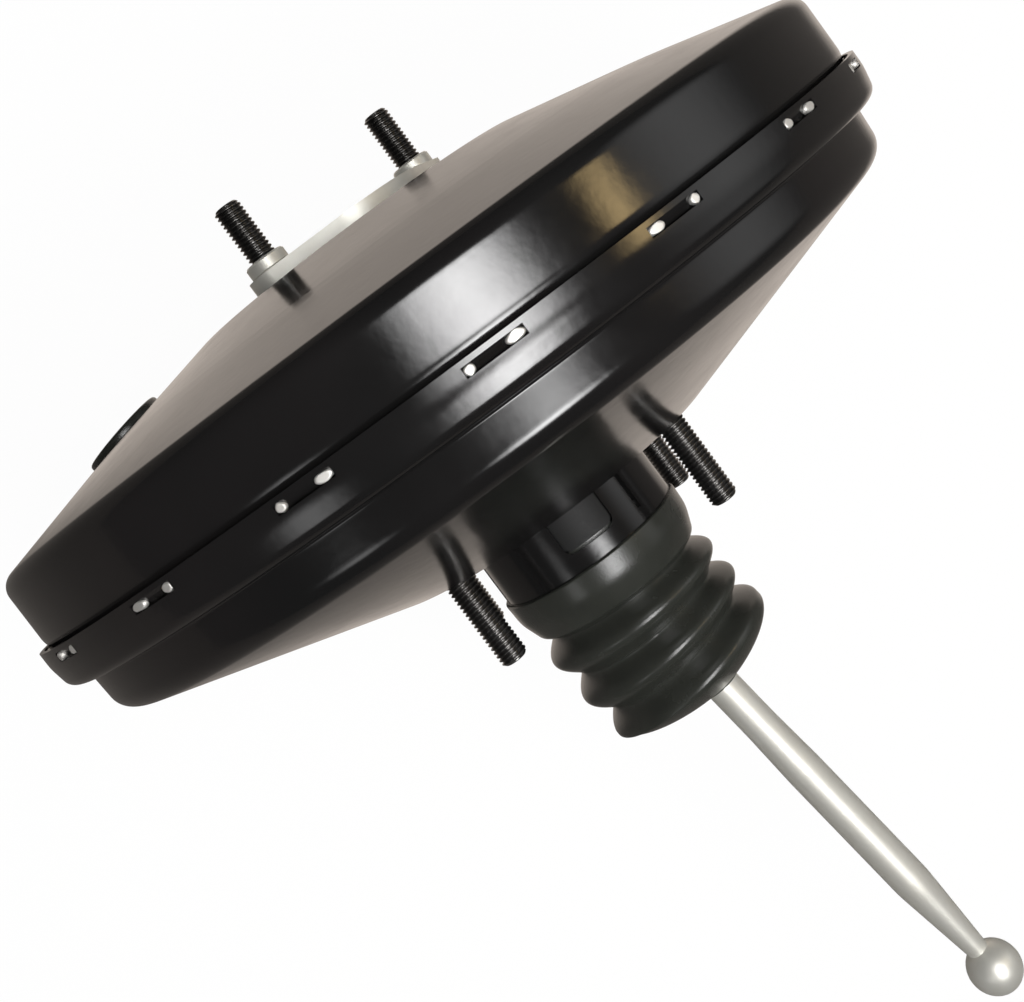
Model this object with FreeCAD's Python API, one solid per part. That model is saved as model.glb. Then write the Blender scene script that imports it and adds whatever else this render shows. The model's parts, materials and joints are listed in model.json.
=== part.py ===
import FreeCAD, Part
import math
import os

# Vacuum brake booster with one diaphragm, lying along X. +X points forward to the master
# cylinder, +Z is up, and the origin is on the axis, in the plane of the rear mounting face.
# All sizes are in millimetres, and an outline's points are (place along X, radius).

# Pressed steel shells
SHEET = 1.5                 # wall of both shells
BAND_R = 135.0              # outside of the crimped band at the rim
BAND_REAR_X = 39.0          # rear shoulder of the band
BAND_LENGTH = 10.2          # band from its rear shoulder to its front edge
DRUM_STEP = 2.6             # from the band in to the front shell's drum
FRONT_CORNER_X = 69.0       # where the drum meets the front cone
FRONT_CORNER_FILLET = 7.0
FRONT_PLATEAU_X = 88.6      # front face of the front shell
FRONT_PLATEAU_R = 54.0
FRONT_DOME_RISE = 0.8       # how far the front cone bulges half-way
FRONT_DOME_FILLET = 300.0
REAR_WALL_STEP = 7.0        # from the band in to the rear shell's wall
REAR_WALL_DRAFT = 1.0
REAR_CORNER_X = 25.3        # where the rear wall meets the rear cone
REAR_CORNER_FILLET = 6.0
REAR_PLATEAU_R = 54.0
BEND = 2.0                  # small bends of the sheet
SMALLEST_BEND = 0.1
EDGE_BREAK = 0.4            # chamfer on turned and pressed edges

# Joint of the two shells
FLANGE_X = 45.5             # front face of the front shell's flange
FLANGE_GAP = 0.3            # flange tip to the inside of the band
WAIST_DEPTH = 2.0           # waist behind the drum, where the tongues reach in
WAIST_LENGTH = 5.0
TAB_COUNT = 18
TAB_WIDTH = 15.0
TAB_SLOT = 2.5
TAB_ROOT = 0.5              # bend of a tongue, in front of its slot
TAB_SINK = 1.6
TAB_GAP = 0.2

# Neck of the rear shell
NECK_LENGTH = 26.0
WINDOW_COUNT = 3
WINDOW_LENGTH = 13.0
WINDOW_WIDTH = 16.0
WINDOW_CORNER = 3.0
WINDOW_CENTRE_X = -8.0
WINDOW_BLOCK = 0.6          # share of the neck's radius where a window's cutting block starts
SLIT_LENGTH = 15.0
SLIT_WIDTH = 1.4
SLIT_ANGLE = 34.0           # from the window's middle, about the axis

# Studs
STUD_R = 4.0                # thread
STUD_SHANK_R = 4.4          # plain shank in the plates, up to the thread
STUD_HOLE_CLEARANCE = 0.15
STUD_CHAMFER = 0.9
STUD_HEAD_R = 6.0
STUD_HEAD_HEIGHT = 3.5
REAR_STUD_SPACING_Y = 70.0
REAR_STUD_SPACING_Z = 56.0
REAR_STUD_LENGTH = 27.0
FRONT_STUD_CIRCLE = 58.0
FRONT_STUD_ANGLE = 30.0     # from +Y towards +Z
FRONT_STUD_LENGTH = 17.2    # in front of its collar
COLLAR_R = 6.0
COLLAR_HEIGHT = 3.8
COLLAR_CHAMFER = 0.5
FLANGE_THICKNESS = 5.6      # bright two-hole flange on the plateau
FLANGE_BOSS_R = 7.5
FLANGE_MIDDLE_R = 25.0
FLANGE_BORE_CLEARANCE = 0.6
PLATE_THICKNESS = 2.5       # reinforcing plates inside the shells
FRONT_PLATE_R = 44.0
REAR_PLATE_R = 51.0
PLATE_INNER_MARGIN = 2.0

# Openings of the front shell
PILOT_R = 20.0              # bore for the master cylinder's spigot
PILOT_DEPTH = 9.0
GROMMET_INSET = 47.9        # its middle inside the drum's radius, on the +Y side
GROMMET_HOLE_R = 9.5
GROMMET_FLANGE_R = 13.0
GROMMET_PROUD = 2.4
GROMMET_EDGE = 0.9          # chamfer of its lips
GROMMET_INNER_R = 12.0
GROMMET_INNER_LENGTH = 4.0
GROMMET_BORE_R = 6.0
GROMMET_FIT = 0.1
GROMMET_INNER_GAP = 0.35    # the sheet is curved, and the inner flange is flat

# Power piston
STROKE_CLEARANCE = 0.3      # faces of bodies that move past or rest near each other
RUN_FIT = 0.08              # radial clearance of sliding round fits
TAIL_WALL = 3.8
TAIL_END_X = -42.0
TAIL_END_CHAMFER = 0.6
HUB_REAR_X = 7.0
HUB_GROOVE_HEIGHT = 8.8     # above the tail
HUB_LIP_HEIGHT = 2.2        # above the groove
HUB_LIP_LENGTH = 2.0
HUB_FLANGE_HEIGHT = 5.2
HUB_FLANGE_LENGTH = 4.0
NOSE_WALL = 5.8
NOSE_LENGTH = 14.0
DIAPHRAGM_THICKNESS = 1.8
DISH_THICKNESS = 1.2        # diaphragm plate
DISH_FLAT_R = 57.0
DISH_RIM_X = 25.0           # where the dish turns forward into its rim
DISH_RIM_LENGTH = 14.0
LOOP_FRONT_X = 50.0         # front of the diaphragm's rolling loop
LOOP_WALL_GAP = 2.0         # rolling loop to the inside of the rear wall
LOOP_WIDTH = 12.5
BEAD_WIDTH = 4.0
BEAD_GAP = 0.2
PASSAGE_COUNT = 3
PASSAGE_R = 1.9
PASSAGE_DEPTH = 3.1         # middle of a passage in the nose's wall
CAVITY_R = 12.2
REACTION_DISC_LENGTH = 5.0
REACTION_DISC_X = 19.0
SEAT_GAP = 1.4              # from the air valve disc to the middle of the vacuum seat
SEAT_WIDTH = 1.4
SEAT_HEIGHT = 3.5
BORE_FLOOR_X = 0.0          # front end of the tail's bore
OUTPUT_HEAD_LENGTH = 4.0
OUTPUT_ROD_R = 6.0
OUTPUT_ROD_FLARE = 1.5      # cone between its head and its shank
OUTPUT_TIP_DEPTH = 12.0     # behind the front plateau
RETAINER_SHEET = 1.2
RETAINER_LENGTH = 9.8

# Control valve
KEY_REAR_X = 4.3
KEY_THICKNESS = 2.4
KEY_WIDTH = 13.0
KEY_HEAD_WIDTH = 22.0
KEY_TOP_HEIGHT = 6.0        # above the tail
KEY_BOTTOM_Z = -7.0
KEY_HEAD_GAP = 2.0          # from the tail up to the key's head
PLUNGER_R = 5.0
PLUNGER_NECK_R = 3.6
PLUNGER_TRAVEL = 2.5
PLUNGER_FRONT_GAP = 0.4
AIR_DISC_R = 8.8
AIR_DISC_REAR_X = -5.0
AIR_DISC_THICKNESS = 2.0
SOCKET_R = 7.4
SOCKET_WALL = 5.0           # socket behind the pivot
SOCKET_THROAT_X = 2.6       # behind the pivot, where the mouth starts
SOCKET_THROAT_R = 4.3
SOCKET_MOUTH_R = 6.2
POPPET_BORE_GAP = 0.5       # round the plunger's socket
POPPET_THICKNESS = 2.0
POPPET_OVER_CUP = 1.0
POPPET_ROOM = 2.6           # round the poppet, in the tail's bore
POPPET_WALL = 1.2
POPPET_BEND = 2.0           # where its sleeve widens over the cup
POPPET_FLARE = 0.6
POPPET_BEAD_X = -17.0
POPPET_BEAD_LENGTH = 2.5
CUP_ROOM = 3.2              # round the plunger's socket, for the poppet's spring
CUP_WALL = 1.0
CUP_BORE_GAP = 0.6          # round the plunger's socket
CUP_FRONT_X = -12.0
POPPET_SPRING_WIRE_R = 0.65
POPPET_SPRING_TURNS = 4
ROD_SPRING_WIRE_R = 0.7
ROD_SPRING_R = 8.9
ROD_SPRING_TURNS = 4
RETURN_SPRING_WIRE_R = 2.0
RETURN_SPRING_FRONT_R = 41.0
RETURN_SPRING_REAR_R = 27.0
RETURN_SPRING_TURNS = 5

# Input rod
PIVOT_X = -22.0
ROD_TILT = 7.3              # towards -Y at rest
ROD_LENGTH = 169.0          # pivot to the middle of the end ball
ROD_R = 5.2                 # where the boot's lip runs
ROD_BELLY_R = 5.65
ROD_NECK_R = 2.8
ROD_END_NECK_R = 3.3
ROD_NECK_LENGTH = 8.0
ROD_SHOULDER_LENGTH = 6.0
ROD_SWELL_START = 70.0      # distances from the pivot
ROD_BELLY_START = 88.0
ROD_TAPER_START = 134.0
ROD_BLEND = 60.0            # radius of the long bends of its outline
END_BALL_R = 8.0
PIVOT_BALL_R = 4.5
PIVOT_BALL_FIT = 0.06
BALL_LINER_WALL = 0.8
BALL_LINER_OPEN = 2.9       # from the pivot back to the liner's open end
SEAT_WASHER_R = 10.0
SEAT_WASHER_FIT = 0.2
SEAT_WASHER_THICKNESS = 1.2
SEAT_WASHER_S = 10.0        # along the rod, from the pivot

# Tail filter
FILTER_BORE_R = 10.0
FILTER_LENGTH = 4.0
SILENCER_LENGTH = 2.6
KEEPER_LENGTH = 1.8
KEEPER_BORE_R = 11.0
FILTER_FIT = 0.2

# Guide and seal in the neck
GUIDE_FRONT_X = 4.0
GUIDE_REAR_X = -13.5
GUIDE_WALL = 7.3
GUIDE_WALL_FIT = 0.2
LUG_RECESS = 0.6
LUG_GAP = 0.4
GUIDE_CHAMFER = 0.5
SEAL_LENGTH = 6.0
SEAL_LIP_GAP = 0.3
SEAL_BACK_WIDTH = 3.2       # from the lip out to the seal's solid back
SEAL_LIP_SLOPE = 1.0
RING_LENGTH = 2.5
RING_BORE_GAP = 2.0

# Dust boot, along its curved middle line from the cuff's edge
BOOT_WALL = 1.2
BOOT_FRONT_X = -19.4
BOOT_NECK_FIT = 0.1
BOOT_CUFF_WALL = 1.0
BOOT_CUFF = [(0.0, 0.4), (0.8, 0.0), (7.0, 0.3), (12.0, 1.9), (13.6, 3.2)]  # place, drop below the cuff's radius
BOOT_CUFF_LENGTH = 15.0     # edge to the first groove
BOOT_FOLD_COUNT = 3         # the last one runs out into the dome
BOOT_PITCH = 11.5
BOOT_CREST_RISE = 0.3       # crests above the neck's radius
BOOT_GROOVE_DEPTH = 4.5     # grooves below the neck's radius
BOOT_FOLD_STEPS = 8
BOOT_FOLD_POWER = 0.7       # under 1 gives round crests and sharp grooves
BOOT_DOME_LENGTH = 10.0
BOOT_DOME_OFFSET = 2.6      # how far the dome's middle hangs off the axis, towards the rod
BOOT_LIP_GAP = 0.3
BOOT_LIP_WALL = 2.4
BOOT_LIP_LENGTH = 2.0

# Sizes that follow from those above, first the round ones from the plunger's socket outwards
CUP_TUBE_R = SOCKET_R + CUP_ROOM
POPPET_OUTER_R = CUP_TUBE_R + CUP_WALL + POPPET_OVER_CUP
TAIL_BORE_R = POPPET_OUTER_R + POPPET_ROOM
TAIL_R = TAIL_BORE_R + TAIL_WALL
NECK_R = TAIL_R + GUIDE_WALL + GUIDE_WALL_FIT + SHEET
HUB_GROOVE_R = TAIL_R + HUB_GROOVE_HEIGHT
HUB_LIP_R = HUB_GROOVE_R + HUB_LIP_HEIGHT
HUB_FLANGE_R = HUB_GROOVE_R + HUB_FLANGE_HEIGHT
NOSE_R = CAVITY_R + NOSE_WALL
PASSAGE_CIRCLE_R = CAVITY_R + PASSAGE_DEPTH
SEAT_R = AIR_DISC_R + SEAT_GAP
KEY_TOP_Z = TAIL_R + KEY_TOP_HEIGHT
DRUM_R = BAND_R - DRUM_STEP
GROMMET_RADIUS_POS = DRUM_R - GROMMET_INSET
REAR_WALL_R = BAND_R - REAR_WALL_STEP
BEAD_R = BAND_R - SHEET - FLANGE_GAP
BEAD_INNER_R = BEAD_R - BEAD_WIDTH
LOOP_OUTER_R = REAR_WALL_R - SHEET - LOOP_WALL_GAP
DISH_RIM_R = LOOP_OUTER_R - LOOP_WIDTH
STUD_HOLE_R = STUD_SHANK_R + STUD_HOLE_CLEARANCE
FRONT_STUD_SEAT_X = FRONT_PLATEAU_X - SHEET - PLATE_THICKNESS
COLLAR_REAR_X = FRONT_PLATEAU_X + FLANGE_THICKNESS
COLLAR_FRONT_X = COLLAR_REAR_X + COLLAR_HEIGHT
OUTPUT_TIP_X = FRONT_PLATEAU_X - OUTPUT_TIP_DEPTH


def vec(point):
    """A point of an outline, in the XY plane."""
    return FreeCAD.Vector(point[0], point[1], 0)


def rounded_edges(points, radii):
    """Edges along the points, with each inner corner rounded by its radius."""
    edges = []
    start = vec(points[0])
    for i in range(1, len(points) - 1):
        before, corner, after = vec(points[i - 1]), vec(points[i]), vec(points[i + 1])
        to_before = before - corner
        to_after = after - corner
        room = 0.49 * min(to_before.Length, to_after.Length)
        to_before.normalize()
        to_after.normalize()
        half = to_before.getAngle(to_after) / 2
        setback = min(radii[i - 1] / math.tan(half), room)
        radius = setback * math.tan(half)
        if radius < 0.02:
            edges.append(Part.LineSegment(start, corner).toShape())
            start = corner
            continue
        inward = to_before + to_after
        inward.normalize()
        first = corner + to_before * setback
        last = corner + to_after * setback
        middle = corner + inward * (radius / math.sin(half) - radius)
        edges.append(Part.LineSegment(start, first).toShape())
        edges.append(Part.Arc(first, middle, last).toShape())
        start = last
    edges.append(Part.LineSegment(start, vec(points[-1])).toShape())
    return edges


def offset_points(points, distance):
    """The same path, moved to its left by the distance."""
    normals = []
    for first, last in zip(points[:-1], points[1:]):
        dx, dr = last[0] - first[0], last[1] - first[1]
        length = math.hypot(dx, dr)
        normals.append((-dr / length, dx / length))
    moved = [(points[0][0] + normals[0][0] * distance, points[0][1] + normals[0][1] * distance)]
    for corner, n0, n1 in zip(points[1:-1], normals[:-1], normals[1:]):
        scale = distance / (1 + n0[0] * n1[0] + n0[1] * n1[1])
        moved.append((corner[0] + (n0[0] + n1[0]) * scale, corner[1] + (n0[1] + n1[1]) * scale))
    end = points[-1]
    moved.append((end[0] + normals[-1][0] * distance, end[1] + normals[-1][1] * distance))
    return moved


def turn_side(before, corner, after):
    """1 where the path turns left at the corner, -1 where it turns right."""
    cross = (corner[0] - before[0]) * (after[1] - corner[1]) - (corner[1] - before[1]) * (after[0] - corner[0])
    return 1 if cross > 0 else -1


def sheet_solid(points, radii, thickness):
    """A turned sheet-metal shell: one face follows the points, the other lies at the thickness to the left."""
    other = offset_points(points, thickness)
    other_radii = []
    for i, radius in enumerate(radii):
        side = turn_side(points[i], points[i + 1], points[i + 2])
        other_radii.append(max(radius - side * thickness, SMALLEST_BEND))
    edges = rounded_edges(points, radii)
    edges.append(Part.LineSegment(vec(points[-1]), vec(other[-1])).toShape())
    edges += rounded_edges(other[::-1], other_radii[::-1])
    edges.append(Part.LineSegment(vec(other[0]), vec(points[0])).toShape())
    return revolved(edges)


def revolved(edges):
    """Turn the closed outline about the X axis."""
    face = Part.Face(Part.Wire(Part.__sortEdges__(edges)))
    return face.revolve(FreeCAD.Vector(0, 0, 0), FreeCAD.Vector(1, 0, 0), 360)


def lines(points):
    """Straight edges from point to point."""
    return [Part.LineSegment(vec(a), vec(b)).toShape() for a, b in zip(points[:-1], points[1:])]


def arc(first, middle, last):
    """A round edge through three points."""
    return Part.Arc(vec(first), vec(middle), vec(last)).toShape()


def turned(points):
    """Turn a closed polygon about the X axis."""
    return revolved(lines(points + [points[0]]))


def ring(x0, x1, inner, outer, chamfer=0.0):
    """A washer or tube between two places along X, with its outer edges chamfered."""
    return turned([
        (x0, inner), (x0, outer - chamfer), (x0 + chamfer, outer),
        (x1 - chamfer, outer), (x1, outer - chamfer), (x1, inner),
    ] if chamfer > 0 else [(x0, inner), (x0, outer), (x1, outer), (x1, inner)])


def bar(x0, x1, radius, y=0.0, z=0.0):
    """A round bar along X."""
    return Part.makeCylinder(radius, x1 - x0, FreeCAD.Vector(x0, y, z), FreeCAD.Vector(1, 0, 0))


def turned_about_x(shape, degrees):
    """A copy turned about the X axis, from +Y towards +Z."""
    copy = shape.copy()
    copy.rotate(FreeCAD.Vector(0, 0, 0), FreeCAD.Vector(1, 0, 0), degrees)
    return copy


def moved(shape, y, z):
    """A copy moved across the axis."""
    copy = shape.copy()
    copy.translate(FreeCAD.Vector(0, y, z))
    return copy


def on_rod(shape):
    """From a rod lying on -X with its pivot at the origin to the tilted rod's place."""
    copy = shape.copy()
    copy.rotate(FreeCAD.Vector(0, 0, 0), FreeCAD.Vector(0, 0, 1), ROD_TILT)
    copy.translate(FreeCAD.Vector(PIVOT_X, 0, 0))
    return copy


def coil(x0, x1, r0, r1, turns, wire_r):
    """A helical spring from x0 to x1 whose middle radius goes from r0 to r1."""
    pitch = (x1 - x0) / turns
    cone = math.degrees(math.atan2(r1 - r0, x1 - x0))
    helix = Part.makeHelix(pitch, x1 - x0, r0, cone)
    section = Part.Wire(Part.makeCircle(wire_r, FreeCAD.Vector(r0, 0, 0), FreeCAD.Vector(0, 1, 0)))
    spring = Part.Wire(helix.Edges).makePipeShell([section], True, True)
    spring.rotate(FreeCAD.Vector(0, 0, 0), FreeCAD.Vector(0, 1, 0), 90)
    spring.translate(FreeCAD.Vector(x0, 0, 0))
    return spring


def front_stud_places():
    """(y, z) of the two studs that carry the master cylinder."""
    angle = math.radians(FRONT_STUD_ANGLE)
    y = FRONT_STUD_CIRCLE / 2 * math.cos(angle)
    z = FRONT_STUD_CIRCLE / 2 * math.sin(angle)
    return [(y, z), (-y, -z)]


def rear_stud_places():
    """(y, z) of the four studs that hold the booster to the bulkhead."""
    y, z = REAR_STUD_SPACING_Y / 2, REAR_STUD_SPACING_Z / 2
    return [(sy * y, sz * z) for sy in (1, -1) for sz in (1, -1)]


def front_cone():
    """Outline of the front cone: its foot at the drum, its bulged middle, and the plateau's edge."""
    foot = (FRONT_CORNER_X, DRUM_R)
    edge = (FRONT_PLATEAU_X, FRONT_PLATEAU_R)
    middle = ((foot[0] + edge[0]) / 2 + FRONT_DOME_RISE, (foot[1] + edge[1]) / 2)
    return [foot, middle, edge]


def grommet_frame():
    """Point on the front cone where the grommet sits, and the cone's outward normal."""
    foot, middle, edge = front_cone()
    low, high = (middle, edge) if GROMMET_RADIUS_POS < middle[1] else (foot, middle)
    slope = (high[0] - low[0]) / (low[1] - high[1])
    x = low[0] + (low[1] - GROMMET_RADIUS_POS) * slope
    normal = FreeCAD.Vector(1, slope, 0)
    normal.normalize()
    return FreeCAD.Vector(x, GROMMET_RADIUS_POS, 0), normal


def on_grommet(shape):
    """From the X axis to the grommet's place, +X pointing out of the cone."""
    place, normal = grommet_frame()
    copy = shape.copy()
    angle = math.degrees(math.atan2(normal.y, normal.x))
    copy.rotate(FreeCAD.Vector(0, 0, 0), FreeCAD.Vector(0, 0, 1), angle)
    copy.translate(place)
    return copy


def front_shell():
    """Drum, cone and plateau, with the pilot bore's collar turned inwards and a waist at the rim."""
    waist_r = DRUM_R - WAIST_DEPTH
    flange_r = BAND_R - SHEET - FLANGE_GAP
    points = [
        (FLANGE_X, flange_r),
        (FLANGE_X, waist_r),
        (FLANGE_X + WAIST_LENGTH, waist_r),
        (FLANGE_X + WAIST_LENGTH + WAIST_DEPTH, DRUM_R),
        *front_cone(),
        (FRONT_PLATEAU_X, PILOT_R),
        (FRONT_PLATEAU_X - PILOT_DEPTH, PILOT_R),
    ]
    radii = [BEND / 2, BEND, BEND, FRONT_CORNER_FILLET, FRONT_DOME_FILLET, BEND * 3, BEND]
    shell = sheet_solid(points, radii, -SHEET)
    for y, z in front_stud_places():
        shell = shell.cut(bar(FRONT_PLATEAU_X - 3 * SHEET, FRONT_PLATEAU_X + SHEET, STUD_HOLE_R, y, z))
    return shell.cut(on_grommet(bar(-3 * SHEET, 3 * SHEET, GROMMET_HOLE_R)))


def tab_tongue():
    """A pressed-in tongue of the band, at the top: it slopes in to hold the front shell's flange."""
    root_x = FLANGE_X + TAB_SLOT + TAB_ROOT
    tip_x = FLANGE_X + TAB_GAP
    profile = [
        (root_x, BAND_R), (tip_x, BAND_R - TAB_SINK),
        (tip_x, BAND_R - TAB_SINK - SHEET), (root_x, BAND_R - SHEET),
    ]
    return band_sector(profile)


def band_sector(points):
    """The outline swept about X over one tab's width, centred at the top."""
    width = math.degrees(TAB_WIDTH / BAND_R)
    loop = [vec(p) for p in points] + [vec(points[0])]
    face = Part.Face(Part.makePolygon(loop))
    solid = face.revolve(FreeCAD.Vector(0, 0, 0), FreeCAD.Vector(1, 0, 0), width)
    return turned_about_x(solid, 90 - width / 2)


def neck_window(margin=0.0):
    """A rounded rectangular block through the top of the neck's wall, smaller all round by the margin."""
    length, width = WINDOW_LENGTH - 2 * margin, WINDOW_WIDTH - 2 * margin
    block = Part.makeBox(length, width, NECK_R * WINDOW_BLOCK)
    block = block.makeFillet(WINDOW_CORNER, [e for e in block.Edges if abs(e.tangentAt(e.FirstParameter).z) > 0.9])
    block.translate(FreeCAD.Vector(WINDOW_CENTRE_X - length / 2, -width / 2, NECK_R * WINDOW_BLOCK))
    return block


def rear_shell():
    """Band, wall, cone, mounting face and neck in one drawn sheet, with tongues, windows and slits."""
    points = [
        (BAND_REAR_X + BAND_LENGTH, BAND_R),
        (BAND_REAR_X, BAND_R),
        (BAND_REAR_X, REAR_WALL_R),
        (REAR_CORNER_X, REAR_WALL_R - REAR_WALL_DRAFT),
        (0.0, REAR_PLATEAU_R),
        (0.0, NECK_R),
        (-NECK_LENGTH, NECK_R),
    ]
    radii = [BEND, BEND * 0.75, REAR_CORNER_FILLET, REAR_CORNER_FILLET * 0.8, BEND]
    shell = sheet_solid(points, radii, SHEET)
    slot = band_sector([
        (FLANGE_X, BAND_R + SHEET), (FLANGE_X, BAND_R - 2 * SHEET),
        (FLANGE_X + TAB_SLOT, BAND_R - 2 * SHEET), (FLANGE_X + TAB_SLOT, BAND_R + SHEET),
    ])
    angles = [i * 360.0 / TAB_COUNT for i in range(TAB_COUNT)]
    shell = shell.cut([turned_about_x(slot, a) for a in angles])
    shell = shell.fuse([turned_about_x(tab_tongue(), a) for a in angles])
    cuts = [bar(-SHEET, 3 * SHEET, STUD_HOLE_R, y, z) for y, z in rear_stud_places()]
    slit = Part.makeBox(SLIT_LENGTH, SLIT_WIDTH, NECK_R)
    slit.translate(FreeCAD.Vector(WINDOW_CENTRE_X - SLIT_LENGTH / 2, -SLIT_WIDTH / 2, NECK_R - 3 * SHEET))
    for i in range(WINDOW_COUNT):
        angle = i * 360.0 / WINDOW_COUNT
        cuts.append(turned_about_x(neck_window(), angle))
        cuts.append(turned_about_x(slit, angle + SLIT_ANGLE))
    return shell.cut(cuts)


def reinforcing_plate(x0, x1, inner, outer, places):
    """A flat ring inside a shell, with the stud holes."""
    plate = ring(x0, x1, inner, outer, EDGE_BREAK)
    return plate.cut([bar(x0 - SHEET, x1 + SHEET, STUD_HOLE_R, y, z) for y, z in places])


def front_plate():
    inner = PILOT_R + SHEET + PLATE_INNER_MARGIN
    front = FRONT_STUD_SEAT_X + PLATE_THICKNESS
    return reinforcing_plate(FRONT_STUD_SEAT_X, front, inner, FRONT_PLATE_R, front_stud_places())


def rear_plate():
    inner = NECK_R + PLATE_INNER_MARGIN
    return reinforcing_plate(SHEET, SHEET + PLATE_THICKNESS, inner, REAR_PLATE_R, rear_stud_places())


def stud(seat_x, thread_x, tip_x):
    """A headed stud along X: head, plain shank from its seat to the thread, and a chamfered tip."""
    way = 1 if tip_x > seat_x else -1
    head_x = seat_x - way * STUD_HEAD_HEIGHT
    return turned([
        (head_x, 0), (head_x, STUD_HEAD_R), (seat_x, STUD_HEAD_R), (seat_x, STUD_SHANK_R),
        (thread_x, STUD_SHANK_R), (thread_x, STUD_R),
        (tip_x - way * STUD_CHAMFER, STUD_R), (tip_x, STUD_R - STUD_CHAMFER), (tip_x, 0),
    ])


def master_cylinder_studs():
    one = stud(FRONT_STUD_SEAT_X, COLLAR_FRONT_X, COLLAR_FRONT_X + FRONT_STUD_LENGTH)
    return Part.makeCompound([moved(one, y, z) for y, z in front_stud_places()])


def stud_collars():
    """Plain collars round the front studs, standing on the flange."""
    one = ring(COLLAR_REAR_X, COLLAR_FRONT_X, STUD_HOLE_R, COLLAR_R, COLLAR_CHAMFER)
    return Part.makeCompound([moved(one, y, z) for y, z in front_stud_places()])


def tangent_web(x0, x1, r0, r1, distance):
    """A plate between two round ends of r0 and r1, whose sides touch both, lying along +Y."""
    lean = math.asin((r0 - r1) / distance)
    side = [(r0 * math.sin(lean), r0 * math.cos(lean)), (distance + r1 * math.sin(lean), r1 * math.cos(lean))]
    outline = side + [(y, -z) for y, z in side[::-1]]
    points = [FreeCAD.Vector(x0, y, z) for y, z in outline + outline[:1]]
    return Part.Face(Part.makePolygon(points)).extrude(FreeCAD.Vector(x1 - x0, 0, 0))


def front_flange():
    """Bright two-hole flange between the front studs, round the pilot bore."""
    x0, x1 = FRONT_PLATEAU_X, COLLAR_REAR_X
    web = tangent_web(x0, x1, FLANGE_MIDDLE_R, FLANGE_BOSS_R, FRONT_STUD_CIRCLE / 2)
    pieces = [turned_about_x(web, FRONT_STUD_ANGLE), turned_about_x(web, FRONT_STUD_ANGLE + 180)]
    pieces += [bar(x0, x1, FLANGE_BOSS_R, y, z) for y, z in front_stud_places()]
    flange = bar(x0, x1, FLANGE_MIDDLE_R).fuse(pieces).removeSplitter()
    holes = [bar(x0 - SHEET, x1 + SHEET, STUD_HOLE_R, y, z) for y, z in front_stud_places()]
    return flange.cut(holes + [bar(x0 - SHEET, x1 + SHEET, PILOT_R + BEND + FLANGE_BORE_CLEARANCE)])


def firewall_studs():
    one = stud(SHEET + PLATE_THICKNESS, 0.0, -REAR_STUD_LENGTH)
    return Part.makeCompound([moved(one, y, z) for y, z in rear_stud_places()])


def vacuum_grommet():
    """Rubber grommet in the front cone, for the check valve's stem."""
    groove = GROMMET_HOLE_R - GROMMET_FIT
    inside = -SHEET - GROMMET_INNER_GAP
    soft = GROMMET_EDGE
    body = turned([
        (inside - GROMMET_INNER_LENGTH, GROMMET_BORE_R),
        (inside - GROMMET_INNER_LENGTH, groove),
        (inside - soft, GROMMET_INNER_R),
        (inside, GROMMET_INNER_R),
        (inside, groove),
        (GROMMET_FIT, groove),
        (GROMMET_FIT, GROMMET_FLANGE_R),
        (GROMMET_PROUD - soft, GROMMET_FLANGE_R),
        (GROMMET_PROUD, GROMMET_FLANGE_R - soft),
        (GROMMET_PROUD, GROMMET_BORE_R),
    ])
    return on_grommet(body)


def neck_guide():
    """Plastic guide for the piston's tail, with lugs that snap into the neck's windows."""
    outer = NECK_R - SHEET - GUIDE_WALL_FIT
    guide = ring(GUIDE_REAR_X, GUIDE_FRONT_X, TAIL_R + RUN_FIT, outer, GUIDE_CHAMFER)
    keep = ring(GUIDE_REAR_X, GUIDE_FRONT_X, TAIL_R + SHEET, NECK_R - LUG_RECESS)
    for i in range(WINDOW_COUNT):
        lug = turned_about_x(neck_window(LUG_GAP), i * 360.0 / WINDOW_COUNT)
        guide = guide.fuse(lug.common(keep))
    return guide


def neck_seal():
    """Rubber ring behind the guide, with a lip that points to the piston's tail."""
    outer = NECK_R - SHEET - GUIDE_WALL_FIT
    front, rear = GUIDE_REAR_X, GUIDE_REAR_X - SEAL_LENGTH
    lip = TAIL_R + SEAL_LIP_GAP
    back = lip + SEAL_BACK_WIDTH
    step = SEAL_LIP_SLOPE
    return turned([
        (rear, back), (rear, outer), (front, outer), (front, back),
        (front - 2 * step, back - step), (front - step, lip), (rear + 3 * step, lip), (rear + 2 * step, back - step),
    ])


def seal_ring():
    """Steel ring that keeps the seal in the neck."""
    front = GUIDE_REAR_X - SEAL_LENGTH
    outer = NECK_R - SHEET - GUIDE_WALL_FIT
    return ring(front - RING_LENGTH, front, TAIL_R + RING_BORE_GAP, outer, EDGE_BREAK)


def hub_front_x():
    """Front face of the hub's groove, where the dish rests."""
    return HUB_REAR_X + HUB_LIP_LENGTH + DIAPHRAGM_THICKNESS + DISH_THICKNESS


def nose_end_x():
    """Front face of the hub's nose."""
    return hub_front_x() + HUB_FLANGE_LENGTH + NOSE_LENGTH


def air_passages():
    """Round holes from the tail's bore to the front of the hub."""
    passage = bar(BORE_FLOOR_X - RETAINER_SHEET, nose_end_x() + 2 * RETAINER_SHEET, PASSAGE_R, 0, -PASSAGE_CIRCLE_R)
    return [turned_about_x(passage, i * 360.0 / PASSAGE_COUNT) for i in range(PASSAGE_COUNT)]


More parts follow.
